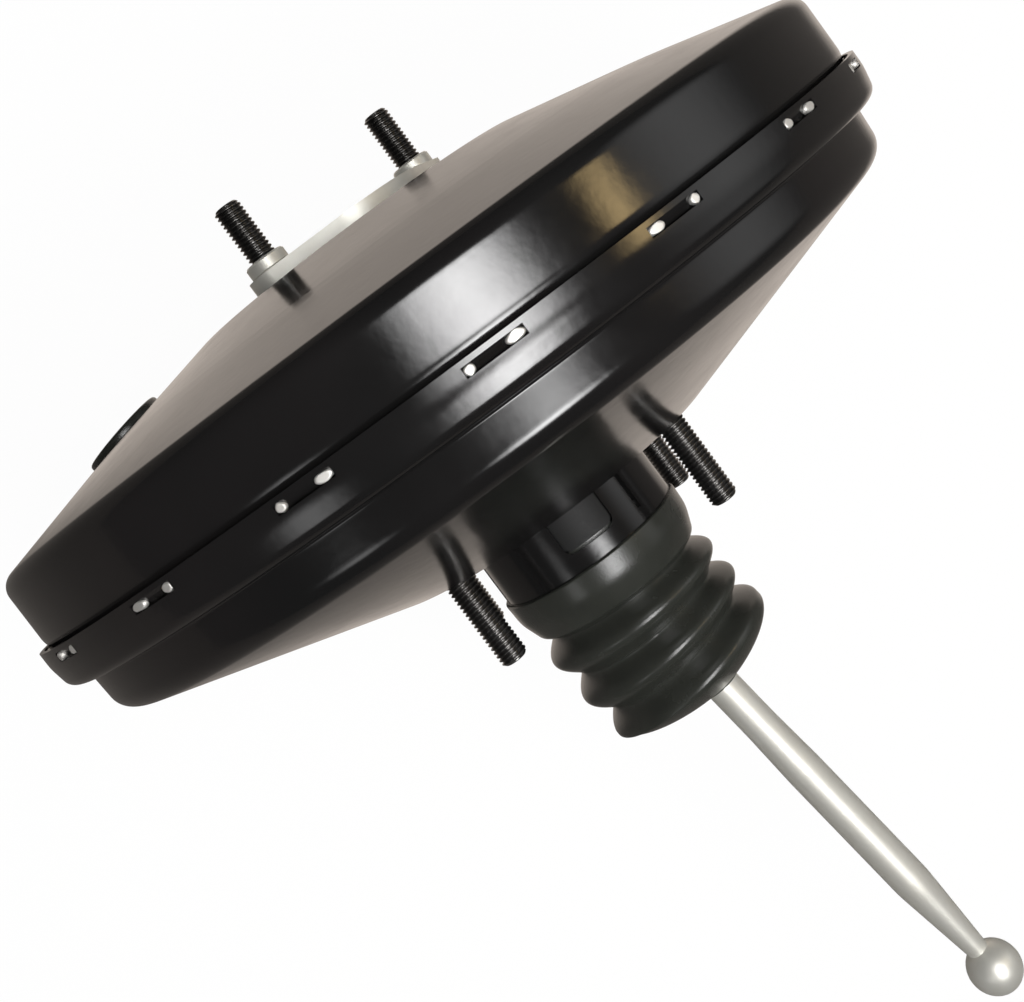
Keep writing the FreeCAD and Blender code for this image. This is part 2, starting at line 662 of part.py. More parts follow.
def valve_body():
    """Moulded hub and tail of the power piston, with its bore, valve seat, key slot and air passages."""
    front = hub_front_x()
    nose_x = nose_end_x()
    lip_x = HUB_REAR_X + HUB_LIP_LENGTH
    body = turned([
        (TAIL_END_X, TAIL_BORE_R), (TAIL_END_X, TAIL_R - TAIL_END_CHAMFER), (TAIL_END_X + TAIL_END_CHAMFER, TAIL_R),
        (HUB_REAR_X, TAIL_R), (HUB_REAR_X, HUB_LIP_R), (lip_x, HUB_LIP_R), (lip_x, HUB_GROOVE_R),
        (front, HUB_GROOVE_R), (front, HUB_FLANGE_R), (front + HUB_FLANGE_LENGTH, HUB_FLANGE_R),
        (front + HUB_FLANGE_LENGTH, NOSE_R), (nose_x, NOSE_R), (nose_x, CAVITY_R),
        (REACTION_DISC_X, CAVITY_R), (REACTION_DISC_X, PLUNGER_R + RUN_FIT),
        (BORE_FLOOR_X, PLUNGER_R + RUN_FIT), (BORE_FLOOR_X, SEAT_R - SEAT_WIDTH / 2),
        (BORE_FLOOR_X - SEAT_HEIGHT, SEAT_R - SEAT_WIDTH / 2),
        (BORE_FLOOR_X - SEAT_HEIGHT, SEAT_R + SEAT_WIDTH / 2),
        (BORE_FLOOR_X, SEAT_R + SEAT_WIDTH / 2), (BORE_FLOOR_X, TAIL_BORE_R),
    ])
    gap = STROKE_CLEARANCE
    slot = Part.makeBox(KEY_THICKNESS + 2 * gap, KEY_WIDTH + 2 * gap, TAIL_R + BEND - KEY_BOTTOM_Z + gap)
    slot.translate(FreeCAD.Vector(KEY_REAR_X - gap, -KEY_WIDTH / 2 - gap, KEY_BOTTOM_Z - gap))
    return body.cut([slot] + air_passages())


def stop_key():
    """Flat forked key through the hub that holds the plunger and stops the piston at the guide."""
    shank = Part.makeBox(KEY_THICKNESS, KEY_WIDTH, KEY_TOP_Z - KEY_BOTTOM_Z)
    shank.translate(FreeCAD.Vector(KEY_REAR_X, -KEY_WIDTH / 2, KEY_BOTTOM_Z))
    head_height = KEY_TOP_Z - TAIL_R - KEY_HEAD_GAP
    head = Part.makeBox(KEY_THICKNESS, KEY_HEAD_WIDTH, head_height)
    head.translate(FreeCAD.Vector(KEY_REAR_X, -KEY_HEAD_WIDTH / 2, KEY_TOP_Z - head_height))
    fork_r = PLUNGER_NECK_R + STROKE_CLEARANCE
    over = KEY_THICKNESS / 2
    gap = Part.makeBox(KEY_THICKNESS + 2 * over, 2 * fork_r, -KEY_BOTTOM_Z + over)
    gap.translate(FreeCAD.Vector(KEY_REAR_X - over, -fork_r, KEY_BOTTOM_Z - over))
    return shank.fuse(head).cut([gap, bar(KEY_REAR_X - over, KEY_REAR_X + KEY_THICKNESS + over, fork_r)])


def diaphragm_dish():
    """Pressed plate behind which the diaphragm lies, with a rim turned forward."""
    rear = HUB_REAR_X + HUB_LIP_LENGTH + DIAPHRAGM_THICKNESS
    points = [
        (rear, HUB_GROOVE_R + FILTER_FIT),
        (rear, DISH_FLAT_R),
        (DISH_RIM_X, DISH_RIM_R),
        (DISH_RIM_X + DISH_RIM_LENGTH, DISH_RIM_R),
    ]
    return sheet_solid(points, [BEND * 4, BEND * 2], -DISH_THICKNESS)


def diaphragm():
    """Rubber diaphragm: over the dish's back and rim, one rolling loop, and the bead in the shells' joint."""
    dish_rear = HUB_REAR_X + HUB_LIP_LENGTH + DIAPHRAGM_THICKNESS
    middle = (BAND_REAR_X + SHEET + FLANGE_X - SHEET) / 2
    loop_r = (LOOP_OUTER_R - DISH_RIM_R) / 2
    points = [
        (dish_rear, HUB_GROOVE_R + FILTER_FIT),
        (dish_rear, DISH_FLAT_R),
        (DISH_RIM_X, DISH_RIM_R),
        (LOOP_FRONT_X, DISH_RIM_R),
        (LOOP_FRONT_X, LOOP_OUTER_R),
        (middle + DIAPHRAGM_THICKNESS / 2, LOOP_OUTER_R),
        (middle + DIAPHRAGM_THICKNESS / 2, BEAD_INNER_R + BEAD_WIDTH / 4),
    ]
    radii = [BEND * 4, BEND * 2, loop_r, loop_r, BEND / 2]
    sheet = sheet_solid(points, radii, DIAPHRAGM_THICKNESS)
    half = (FLANGE_X - SHEET - BAND_REAR_X - SHEET) / 2 - BEAD_GAP
    bead = ring(middle - half, middle + half, BEAD_INNER_R, BEAD_R, EDGE_BREAK)
    return sheet.fuse(bead).removeSplitter()


def reaction_disc():
    """Rubber disc between the plunger and the output rod."""
    front = REACTION_DISC_X + REACTION_DISC_LENGTH
    return ring(REACTION_DISC_X, front, 0, CAVITY_R - FILTER_FIT, EDGE_BREAK)


def output_rod():
    """Steel rod with a flat head in the hub and a domed tip near the pilot bore."""
    x0 = REACTION_DISC_X + REACTION_DISC_LENGTH
    x1 = x0 + OUTPUT_HEAD_LENGTH
    head_r = CAVITY_R - FILTER_FIT
    dome_x = OUTPUT_TIP_X - OUTPUT_ROD_R
    diagonal = OUTPUT_ROD_R * math.sqrt(0.5)
    edges = lines([
        (OUTPUT_TIP_X, 0), (x0, 0), (x0, head_r), (x1, head_r), (x1, OUTPUT_ROD_R + OUTPUT_ROD_FLARE),
        (x1 + OUTPUT_ROD_FLARE, OUTPUT_ROD_R), (dome_x, OUTPUT_ROD_R),
    ])
    edges.append(arc((dome_x, OUTPUT_ROD_R), (dome_x + diagonal, diagonal), (OUTPUT_TIP_X, 0)))
    return revolved(edges)


def rod_retainer():
    """Pressed cap over the hub's nose that keeps the output rod and the reaction disc in."""
    nose_x = nose_end_x()
    points = [
        (nose_x - RETAINER_LENGTH, NOSE_R + FILTER_FIT / 2),
        (nose_x, NOSE_R + FILTER_FIT / 2),
        (nose_x, OUTPUT_ROD_R + RETAINER_SHEET),
    ]
    return sheet_solid(points, [SMALLEST_BEND], RETAINER_SHEET).cut(air_passages())


def return_spring():
    """Conical main spring between the front plate and the hub's flange."""
    front = FRONT_STUD_SEAT_X - RETURN_SPRING_WIRE_R - STROKE_CLEARANCE
    rear = hub_front_x() + HUB_FLANGE_LENGTH + RETURN_SPRING_WIRE_R + STROKE_CLEARANCE
    return coil(rear, front, RETURN_SPRING_REAR_R, RETURN_SPRING_FRONT_R, RETURN_SPRING_TURNS, RETURN_SPRING_WIRE_R)


def plunger():
    """Steel plunger: guide, neck for the key, air valve disc, and the socket of the input rod's ball."""
    key_front = KEY_REAR_X + KEY_THICKNESS
    neck_rear = KEY_REAR_X - STROKE_CLEARANCE - PLUNGER_TRAVEL
    disc_front = AIR_DISC_REAR_X + AIR_DISC_THICKNESS
    body = turned([
        (REACTION_DISC_X - PLUNGER_TRAVEL - PLUNGER_FRONT_GAP, 0),
        (REACTION_DISC_X - PLUNGER_TRAVEL - PLUNGER_FRONT_GAP, PLUNGER_R),
        (key_front + STROKE_CLEARANCE, PLUNGER_R), (key_front + STROKE_CLEARANCE, PLUNGER_NECK_R),
        (neck_rear, PLUNGER_NECK_R), (neck_rear, PLUNGER_R), (disc_front, PLUNGER_R),
        (disc_front, AIR_DISC_R - EDGE_BREAK), (disc_front - EDGE_BREAK, AIR_DISC_R), (AIR_DISC_REAR_X, AIR_DISC_R),
        (AIR_DISC_REAR_X, SOCKET_R), (PIVOT_X - SOCKET_WALL, SOCKET_R), (PIVOT_X - SOCKET_WALL, 0),
    ])
    cavity_r = PIVOT_BALL_R + BALL_LINER_WALL + 2 * PIVOT_BALL_FIT
    cavity = Part.makeSphere(cavity_r, FreeCAD.Vector(PIVOT_X, 0, 0))
    throat_x, mouth_x = PIVOT_X - SOCKET_THROAT_X, PIVOT_X - SOCKET_WALL
    mouth = turned([(throat_x, 0), (throat_x, SOCKET_THROAT_R), (mouth_x, SOCKET_MOUTH_R), (mouth_x, 0)])
    return body.cut([cavity, mouth])


def ball_liner():
    """Plastic shell round the input rod's inner ball, open at the back for the rod's neck."""
    inner = PIVOT_BALL_R + PIVOT_BALL_FIT
    shell = Part.makeSphere(inner + BALL_LINER_WALL).cut(Part.makeSphere(inner))
    return on_rod(shell.cut(bar(-2 * inner, -BALL_LINER_OPEN, 2 * inner)))


def poppet():
    """Rubber control valve: a sealing ring, a thin sleeve and a rear bead."""
    front = AIR_DISC_REAR_X - STROKE_CLEARANCE
    inner = SOCKET_R + POPPET_BORE_GAP
    bead_r = TAIL_BORE_R - FILTER_FIT
    bead_rear = POPPET_BEAD_X - POPPET_BEAD_LENGTH
    sleeve = POPPET_OUTER_R - POPPET_WALL
    cup_outer = CUP_TUBE_R + CUP_WALL + FILTER_FIT / 2
    over, under = CUP_FRONT_X + POPPET_BEND, CUP_FRONT_X - POPPET_BEND
    wide = POPPET_OUTER_R + POPPET_FLARE
    return turned([
        (front, inner), (front, POPPET_OUTER_R), (over, wide),
        (POPPET_BEAD_X, wide), (POPPET_BEAD_X, bead_r), (bead_rear, bead_r),
        (bead_rear, cup_outer), (under, cup_outer), (over, sleeve + POPPET_FLARE / 2),
        (front - POPPET_THICKNESS, sleeve), (front - POPPET_THICKNESS, inner),
    ])


def poppet_cup():
    """Steel cup that clamps the poppet's bead and carries both valve springs."""
    flange_x = POPPET_BEAD_X - POPPET_BEAD_LENGTH
    return turned([
        (flange_x, TAIL_BORE_R - FILTER_FIT), (flange_x, CUP_TUBE_R + CUP_WALL),
        (CUP_FRONT_X, CUP_TUBE_R + CUP_WALL), (CUP_FRONT_X, CUP_TUBE_R),
        (flange_x, CUP_TUBE_R), (flange_x, SOCKET_R + CUP_BORE_GAP),
        (flange_x - CUP_WALL, SOCKET_R + CUP_BORE_GAP), (flange_x - CUP_WALL, TAIL_BORE_R - FILTER_FIT),
    ])


def poppet_spring():
    """Small spring that presses the poppet forward."""
    rear = POPPET_BEAD_X - POPPET_BEAD_LENGTH + POPPET_SPRING_WIRE_R + STROKE_CLEARANCE / 2
    front = AIR_DISC_REAR_X - STROKE_CLEARANCE - POPPET_THICKNESS - POPPET_SPRING_WIRE_R - STROKE_CLEARANCE / 2
    radius = CUP_TUBE_R - POPPET_SPRING_WIRE_R - STROKE_CLEARANCE
    return coil(rear, front, radius, radius, POPPET_SPRING_TURNS, POPPET_SPRING_WIRE_R)


def rod_spring():
    """Spring that pushes the input rod back."""
    front = POPPET_BEAD_X - POPPET_BEAD_LENGTH - CUP_WALL - ROD_SPRING_WIRE_R - STROKE_CLEARANCE
    tilt_rise = (ROD_SPRING_R + ROD_SPRING_WIRE_R) * math.sin(math.radians(ROD_TILT))
    rear = PIVOT_X - SEAT_WASHER_S + tilt_rise + ROD_SPRING_WIRE_R + STROKE_CLEARANCE
    return coil(rear, front, ROD_SPRING_R, ROD_SPRING_R, ROD_SPRING_TURNS, ROD_SPRING_WIRE_R)


def rod_spring_seat():
    """Loose dished washer on the input rod's shoulder that carries the rod spring."""
    far = SEAT_WASHER_S + SEAT_WASHER_THICKNESS
    growth = (ROD_R - ROD_NECK_R) / ROD_SHOULDER_LENGTH
    bore = ROD_NECK_R + max(far - ROD_NECK_LENGTH, 0) * growth + SEAT_WASHER_FIT
    return on_rod(ring(-far, -SEAT_WASHER_S, bore, SEAT_WASHER_R, SEAT_WASHER_THICKNESS / 4))


def tail_ring(rear, length, bore):
    """A ring that fills the tail's bore."""
    return ring(rear, rear + length, bore, TAIL_BORE_R - FILTER_FIT, EDGE_BREAK / 2)


def filter_keeper():
    return tail_ring(TAIL_END_X, KEEPER_LENGTH, KEEPER_BORE_R)


def silencer():
    return tail_ring(TAIL_END_X + KEEPER_LENGTH, SILENCER_LENGTH, FILTER_BORE_R)


def air_filter():
    return tail_ring(TAIL_END_X + KEEPER_LENGTH + SILENCER_LENGTH, FILTER_LENGTH, FILTER_BORE_R)


def input_rod():
    """Push rod: a small ball in the plunger, a neck, a shank with a long belly, and the large end ball."""
    shoulder = ROD_NECK_LENGTH + ROD_SHOULDER_LENGTH
    end_x = -ROD_LENGTH + math.sqrt(END_BALL_R ** 2 - ROD_END_NECK_R ** 2)
    neck_x = -math.sqrt(PIVOT_BALL_R ** 2 - ROD_NECK_R ** 2)
    shank = [
        (end_x, ROD_END_NECK_R), (-ROD_TAPER_START, ROD_BELLY_R), (-ROD_BELLY_START, ROD_BELLY_R),
        (-ROD_SWELL_START, ROD_R), (-shoulder, ROD_R), (-ROD_NECK_LENGTH, ROD_NECK_R), (neck_x, ROD_NECK_R),
    ]
    edges = rounded_edges(shank, [ROD_BLEND, ROD_BLEND, ROD_BLEND, BEND, BEND])
    edges.append(arc((neck_x, ROD_NECK_R), (0, PIVOT_BALL_R), (PIVOT_BALL_R, 0)))
    edges += lines([(PIVOT_BALL_R, 0), (-ROD_LENGTH - END_BALL_R, 0)])
    edges.append(arc((-ROD_LENGTH - END_BALL_R, 0), (-ROD_LENGTH, END_BALL_R), (end_x, ROD_END_NECK_R)))
    return on_rod(revolved(edges))


def boot_crest_s():
    """Crest of the last fold, where the dome starts."""
    return BOOT_CUFF_LENGTH + (BOOT_FOLD_COUNT - 0.5) * BOOT_PITCH


def boot_middle(s):
    """Point of the boot's middle line, and its direction, at the distance s from the cuff's edge."""
    tilt = math.radians(ROD_TILT)
    x = BOOT_FRONT_X - s
    crest_s = boot_crest_s()
    run = crest_s - BOOT_CUFF_LENGTH
    if s <= crest_s:
        u = max(s - BOOT_CUFF_LENGTH, 0) / run
        y, slope = -BOOT_DOME_OFFSET * u ** 2, -2 * BOOT_DOME_OFFSET * u / run
    else:
        rod_y = -(PIVOT_X - x) * math.tan(tilt)
        u = min((s - crest_s) / BOOT_DOME_LENGTH, 1)
        y, slope = rod_y * u + -BOOT_DOME_OFFSET * (1 - u), -math.tan(tilt)
    direction = FreeCAD.Vector(-1, slope, 0)
    direction.normalize()
    return FreeCAD.Vector(x, y, 0), direction


def boot_stations(shrink):
    """(place, radius) of the folds and the dome, for a skin that lies inside the outer one by shrink."""
    groove = NECK_R - BOOT_GROOVE_DEPTH - shrink
    crest = NECK_R + BOOT_CREST_RISE - shrink
    end = ROD_R + BOOT_LIP_GAP + BOOT_LIP_WALL - shrink
    stations = []
    for step in range(BOOT_FOLD_COUNT * BOOT_FOLD_STEPS - BOOT_FOLD_STEPS // 2):
        phase = step / BOOT_FOLD_STEPS
        rise = abs(math.sin(math.pi * phase)) ** BOOT_FOLD_POWER
        stations.append((BOOT_CUFF_LENGTH + phase * BOOT_PITCH, groove + (crest - groove) * rise))
    for step in range(BOOT_FOLD_STEPS + 1):
        part = step / BOOT_FOLD_STEPS
        fall = math.cos(math.pi / 2 * part)
        stations.append((boot_crest_s() + (BOOT_DOME_LENGTH - shrink) * part, end + (crest - end) * fall))
    return stations


def boot_loft(stations):
    """A solid through circles set square to the boot's middle line."""
    wires = []
    for s, radius in stations:
        centre, direction = boot_middle(s)
        circle = Part.makeCircle(radius, FreeCAD.Vector(0, 0, 0), FreeCAD.Vector(-1, 0, 0))
        bend = math.degrees(math.atan2(-direction.y, -direction.x))
        circle.rotate(FreeCAD.Vector(0, 0, 0), FreeCAD.Vector(0, 0, 1), bend)
        circle.translate(centre)
        wires.append(Part.Wire(circle))
    return Part.makeLoft(wires, True, True)


def dust_boot():
    """Rubber bellows: a cuff over the neck's end, folds, and a domed end with a lip round the rod."""
    bore = NECK_R + BOOT_NECK_FIT
    cuff_r = bore + BOOT_CUFF_WALL
    lip_r = ROD_R + BOOT_LIP_GAP
    dome_end = boot_crest_s() + BOOT_DOME_LENGTH
    cuff = [(s, cuff_r - drop) for s, drop in BOOT_CUFF]
    lip = [(dome_end + BOOT_LIP_LENGTH, lip_r + BOOT_LIP_WALL)]
    outer = boot_loft(cuff + boot_stations(0) + lip)
    neck_end = NECK_LENGTH + BOOT_FRONT_X + BOOT_LIP_GAP
    inside = [(-BOOT_WALL, bore), (neck_end, bore), (neck_end + BOOT_NECK_FIT, bore - SHEET)]
    inside += [(s, r - BOOT_WALL) for s, r in cuff if s > neck_end + BOOT_WALL]
    hollow = boot_loft(inside + boot_stations(BOOT_WALL))
    return outer.cut([hollow, on_rod(bar(-ROD_LENGTH / 2, 0, lip_r))])


PARTS = {
    "front_shell": front_shell,
    "rear_shell": rear_shell,
    "front_reinforcing_plate": front_plate,
    "rear_reinforcing_plate": rear_plate,
    "master_cylinder_studs": master_cylinder_studs,
    "stud_collars": stud_collars,
    "front_flange": front_flange,
    "firewall_studs": firewall_studs,
    "vacuum_grommet": vacuum_grommet,
    "neck_guide": neck_guide,
    "neck_seal": neck_seal,
    "seal_retaining_ring": seal_ring,
    "valve_body": valve_body,
    "stop_key": stop_key,
    "diaphragm_plate": diaphragm_dish,
    "diaphragm": diaphragm,
    "reaction_disc": reaction_disc,
    "output_rod": output_rod,
    "output_rod_retainer": rod_retainer,
    "return_spring": return_spring,
    "valve_plunger": plunger,
    "ball_liner": ball_liner,
    "poppet_valve": poppet,
    "poppet_cup": poppet_cup,
    "poppet_spring": poppet_spring,
    "rod_spring": rod_spring,
    "rod_spring_seat": rod_spring_seat,
    "air_filter": air_filter,
    "air_silencer": silencer,
    "filter_keeper": filter_keeper,
    "input_rod": input_rod,
    "dust_boot": dust_boot,
}


def main():
    os.makedirs("parts", exist_ok=True)
    for name, build in PARTS.items():
        shape = build()
        solids = shape.Solids
        if len(solids) == 1 and shape.ShapeType != "Solid":
            shape = solids[0]
        print(name, "solids", len(solids), "valid", shape.isValid(), "volume %.1f" % shape.Volume)
        shape.exportStep("parts/" + name + ".step")


main()
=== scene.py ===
import bpy
import bmesh
import json
import math
from mathutils import Matrix, Vector


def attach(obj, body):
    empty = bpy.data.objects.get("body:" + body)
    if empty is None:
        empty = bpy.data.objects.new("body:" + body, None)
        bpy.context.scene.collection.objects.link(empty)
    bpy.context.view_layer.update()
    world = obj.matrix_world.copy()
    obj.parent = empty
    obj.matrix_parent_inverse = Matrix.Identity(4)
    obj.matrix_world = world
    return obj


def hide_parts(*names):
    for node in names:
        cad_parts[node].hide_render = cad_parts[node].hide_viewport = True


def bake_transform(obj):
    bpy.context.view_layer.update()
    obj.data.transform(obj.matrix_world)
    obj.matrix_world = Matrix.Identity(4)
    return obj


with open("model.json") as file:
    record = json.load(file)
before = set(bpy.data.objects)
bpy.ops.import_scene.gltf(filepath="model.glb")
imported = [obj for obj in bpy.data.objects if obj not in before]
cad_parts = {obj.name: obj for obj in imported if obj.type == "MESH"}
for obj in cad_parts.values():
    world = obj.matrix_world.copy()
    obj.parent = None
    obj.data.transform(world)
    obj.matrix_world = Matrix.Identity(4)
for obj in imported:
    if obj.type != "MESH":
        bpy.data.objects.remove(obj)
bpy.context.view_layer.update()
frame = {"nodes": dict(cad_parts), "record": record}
nodes = frame["nodes"]
MM = 0.001

# A vacuum brake booster, seen from its side and rear. The shells, studs, grommet and dust boot are made
# again here in finer detail, and the other sub-parts show as they are, with materials.

# Camera, as fitted to the photograph: places in metres
IMAGE_W, IMAGE_H = 1024, 1002
SENSOR = 36.0
FOCAL_PX = 1530.0
CAMERA_AT = Vector((0.0613, 0.0247, 0.4287))
LOOK_AT = Vector((0.039, 0.0, 0.0))
LOOK_PIXEL = (465.0, 378.0)         # where LOOK_AT shows in the image
IMAGE_RIGHT = Vector((-0.598, -0.802, 0.0))
CLIP_NEAR, CLIP_FAR = 0.01, 50.0

# Pressed shells, in millimetres; an outline's points are (place along X, radius)
SHEET = 1.5
BEND = 2.0                          # small bends of the sheet
SMALLEST_BEND = 0.1
BAND_R = 135.0                      # crimped band at the rim
BAND_REAR_X = 37.4
BAND_LENGTH = 11.8
BAND_CROWN_X = 44.6                 # behind this place the band leans in
BAND_CROWN_DROP = 1.3
BAND_CROWN_BEND = 16.0
BAND_REAR_BEND = 3.2
REAR_WALL_R = BAND_R - 7.0
REAR_WALL_TAPER = 0.7
REAR_CORNER_X = 25.3
REAR_CORNER_BEND = 6.0
REAR_PLATEAU_R = 54.0
REAR_PLATEAU_BEND = 4.8
DRUM_R = BAND_R - 2.6
FRONT_CORNER_X = 69.0
FRONT_CORNER_BEND = 5.0
FRONT_PLATEAU_X = 88.6
FRONT_PLATEAU_R = 54.0
FRONT_DOME_RISE = 0.8               # how far the front cone bulges half-way
FRONT_DOME_BEND = 300.0
PILOT_R, PILOT_DEPTH = 20.0, 9.0
FLANGE_X = 45.5                     # front face of the front shell's flange
FLANGE_GAP = 0.3                    # from the flange's tip to the inside of the band
WAIST_DEPTH, WAIST_LENGTH = 0.8, 5.0
ROUND = 360                         # segments of the large turned skins

# Slots in the band, and the tongues pressed in behind them
TAB_COUNT = 18
TAB_WIDTH = 15.0
TAB_SLOT = 2.5
TAB_ROOT = 0.5                      # a tongue's bend, in front of its slot
TAB_SINK = 1.6
TAB_GAP = 0.2                       # from a tongue's tip to the flange
TAB_SIDE_GAP = 0.05                 # from a tongue's side to the end of its slot
TAB_SKIN_GAP = 0.02                 # keeps a tongue's faces inside the band's at its root
TAB_ROWS = 14                       # steps along a slot or a tongue

# Bare burrs where the ends of a tongue are sheared, two to a slot
BURR_LENGTH, BURR_WIDTH, BURR_HEIGHT = 3.8, 2.4, 1.1
BURR_SINK = 0.03                    # from a burr's top in to the band's face
BURR_STEEPNESS = 1.8                # above 1 a burr's top is flat
BURR_ROWS, BURR_SIDES = 12, 20
BURR_SPREAD = 0.3                   # share by which burrs differ in length
BURR_LENGTH_PHASE, BURR_END_PHASE = 2.6, 1.9    # radians from slot to slot, and from end to end
BURR_WOBBLE = 0.16                  # share by which a burr's outline wanders
BURR_WOBBLE_PHASE = 1.7             # radians from slot to slot

# Neck of the rear shell
NECK_R, NECK_LENGTH = 28.0, 26.0
WINDOW_COUNT = 3
WINDOW_LENGTH, WINDOW_WIDTH, WINDOW_CORNER = 13.0, 16.0, 3.0
WINDOW_CENTRE_X = -8.0
SLIT_LENGTH, SLIT_WIDTH = 15.0, 1.4
SLIT_ANGLE = 34.0                   # degrees from a window's middle, about the axis
WINDOW_BLOCK = (0.6 * NECK_R, 1.2 * NECK_R)     # reach of the cutting blocks, from the axis
SLIT_BLOCK = (NECK_R - 3 * SHEET, 1.2 * NECK_R)

# Studs, in millimetres
STUD_HEAD_R, STUD_HEAD_HEIGHT = 6.0, 3.5
STUD_SHANK_R, STUD_HOLE_R = 4.4, 4.55
STUD_SHANK_CHAMFER = 0.3
STUD_CHAMFER = 0.9                  # at the thread's tip
STUD_SIDES = 48
THREAD_CREST_R, THREAD_ROOT_R = 3.97, 3.3
THREAD_PITCH = 1.25
THREAD_ROOT_SHARE = 0.12            # of half a pitch
THREAD_FLANK_SHARE = 0.68           # of half a pitch
THREAD_STEPS = 10                   # rows of one turn
PLATE_THICKNESS = 2.5               # reinforcing plates inside the shells
FRONT_FLANGE_THICKNESS = 5.6
COLLAR_HEIGHT = 3.8
COLLAR_FRONT_X = FRONT_PLATEAU_X + FRONT_FLANGE_THICKNESS + COLLAR_HEIGHT
FRONT_STUD_CIRCLE_R = 29.0
FRONT_STUD_ANGLE = 30.0
FRONT_STUD_TIP_X = 115.2
REAR_STUD_Y, REAR_STUD_Z = 35.0, 28.0
REAR_STUD_LENGTH = 27.0
REAR_STUD_PLACES = [(y, z) for y in (REAR_STUD_Y, -REAR_STUD_Y) for z in (REAR_STUD_Z, -REAR_STUD_Z)]

# Grommet in the front cone, in millimetres
GROMMET_AT_R = 84.5
GROMMET_HOLE_R, GROMMET_FLANGE_R, GROMMET_BORE_R = 9.5, 13.0, 6.0
GROMMET_PROUD = 2.4
GROMMET_FIT = 0.1
GROMMET_INNER_R = 12.0
GROMMET_INNER_LENGTH = 4.0
GROMMET_INNER_GAP = 0.35            # the sheet is curved, and the inner lip is flat
GROMMET_FLANGE_ROOT_BEND, GROMMET_FLANGE_BEND, GROMMET_MOUTH_BEND = 0.3, 0.9, 1.2
GROMMET_TAIL_BEND, GROMMET_INNER_BEND = 0.5, 0.8
GROMMET_HOLE_SIDES, GROMMET_SIDES = 72, 96

# Push rod and boot, in millimetres; a place s is the distance from the cuff's edge along the boot
PIVOT_X = -22.0
ROD_TILT = 7.3
ROD_R = 5.2
BOOT_FRONT_X = -19.4
BOOT_WALL = 1.2
BOOT_CUFF_LENGTH = 15.0
BOOT_CUFF_R = NECK_R + 1.1
BOOT_CUFF_EDGE = 0.5
BOOT_CUFF_TAPER_S, BOOT_CUFF_TAPER = 7.0, 0.3
BOOT_CUFF_FOOT_S, BOOT_CUFF_FOOT_DROP = 13.2, 2.6
BOOT_CUFF_TAPER_BEND, BOOT_CUFF_FOOT_BEND = 12.0, 2.5
BOOT_PITCH = 11.5
BOOT_CREST_R = NECK_R + 0.3
BOOT_GROOVE_R = NECK_R - 4.5
BOOT_FOLD_POWER = 1.5               # above 1 a groove is round at its bottom
BOOT_GROOVE_S = BOOT_CUFF_LENGTH + 2 * BOOT_PITCH
BOOT_CREST_S = BOOT_CUFF_LENGTH + 2.5 * BOOT_PITCH
BOOT_DOME_LENGTH = 10.0
BOOT_DOME_OFFSET = 2.6              # how far the last crest is drawn to the rod's side
BOOT_DOME_POWER = 1.75              # how round the dome is: 1 is a cone
BOOT_DOME_TAIL = 0.6                # how far the dome's curve runs on into the lip
BOOT_DOME_SHARE = 0.69              # of the dome's length, where the lip's skin takes over
BOOT_LIP_LENGTH = 1.1
BOOT_LIP_R = ROD_R + 0.3
BOOT_SIDES = 180
FOLD_ROWS, GROOVE_ROWS, DOME_ROWS, LIP_ROWS = 48, 12, 16, 24

# Bends and shading of the meshes: angles in degrees, lengths in millimetres
BEND_STEP = 7.0                     # from point to point round a bend
CUFF_BEND_STEP = 6.0
SMALL_BEND_STEP = 15.0
BEND_SHARE = 0.49                   # most of a side that one bend takes
GUARD, GUARDED_RUN = 0.6, 3.0       # extra points near the ends of a run that is longer than this
SHARP_ANGLE = 35.0                  # an edge that turns further looks sharp
SOFT_SHARP_ANGLE = 50.0             # threads and boot
BURR_SHARP_ANGLE = 60.0

# Stage, in metres
FLOOR_SIZE = 12.0
FLOOR_Z = -0.1352
FLOOR_COLOUR = (0.86, 0.86, 0.85, 1.0)
FLOOR_WHITE = 0.96                  # share of the floor that is plain white to the eye
# A painted pool of light: the floor glows round the part for glossy rays only, fading with distance
GLOW_POOL_CENTRE = (0.085, -0.06, FLOOR_Z)
GLOW_POOL_NEAR, GLOW_POOL_FAR = 0.165, 0.255    # painted pool of light on the floor under the part, which only gloss sees
GLOW_POOL_PEAK, FLOOR_GLOW = 0.72, 0.11
GLOW_POOL_COLOUR = (1.0, 0.88, 0.78, 1.0)
ROOM_DIFFUSE, ROOM_GLOW = 0.30, 0.035   # the room's level for plain and for glossy surfaces
WHITE = (1.0, 1.0, 1.0, 1.0)
WARM = (1.0, 0.72, 0.34)
LIGHT_MIDDLE, LIGHT_RIM = (0.5, 0.5, 0.0), 0.5      # in a light's own coordinates, from 0 to 1 across it


# Node trees

MIX_A, MIX_B, MIX_RESULT = 6, 7, 2      # the colour sockets of a mix node


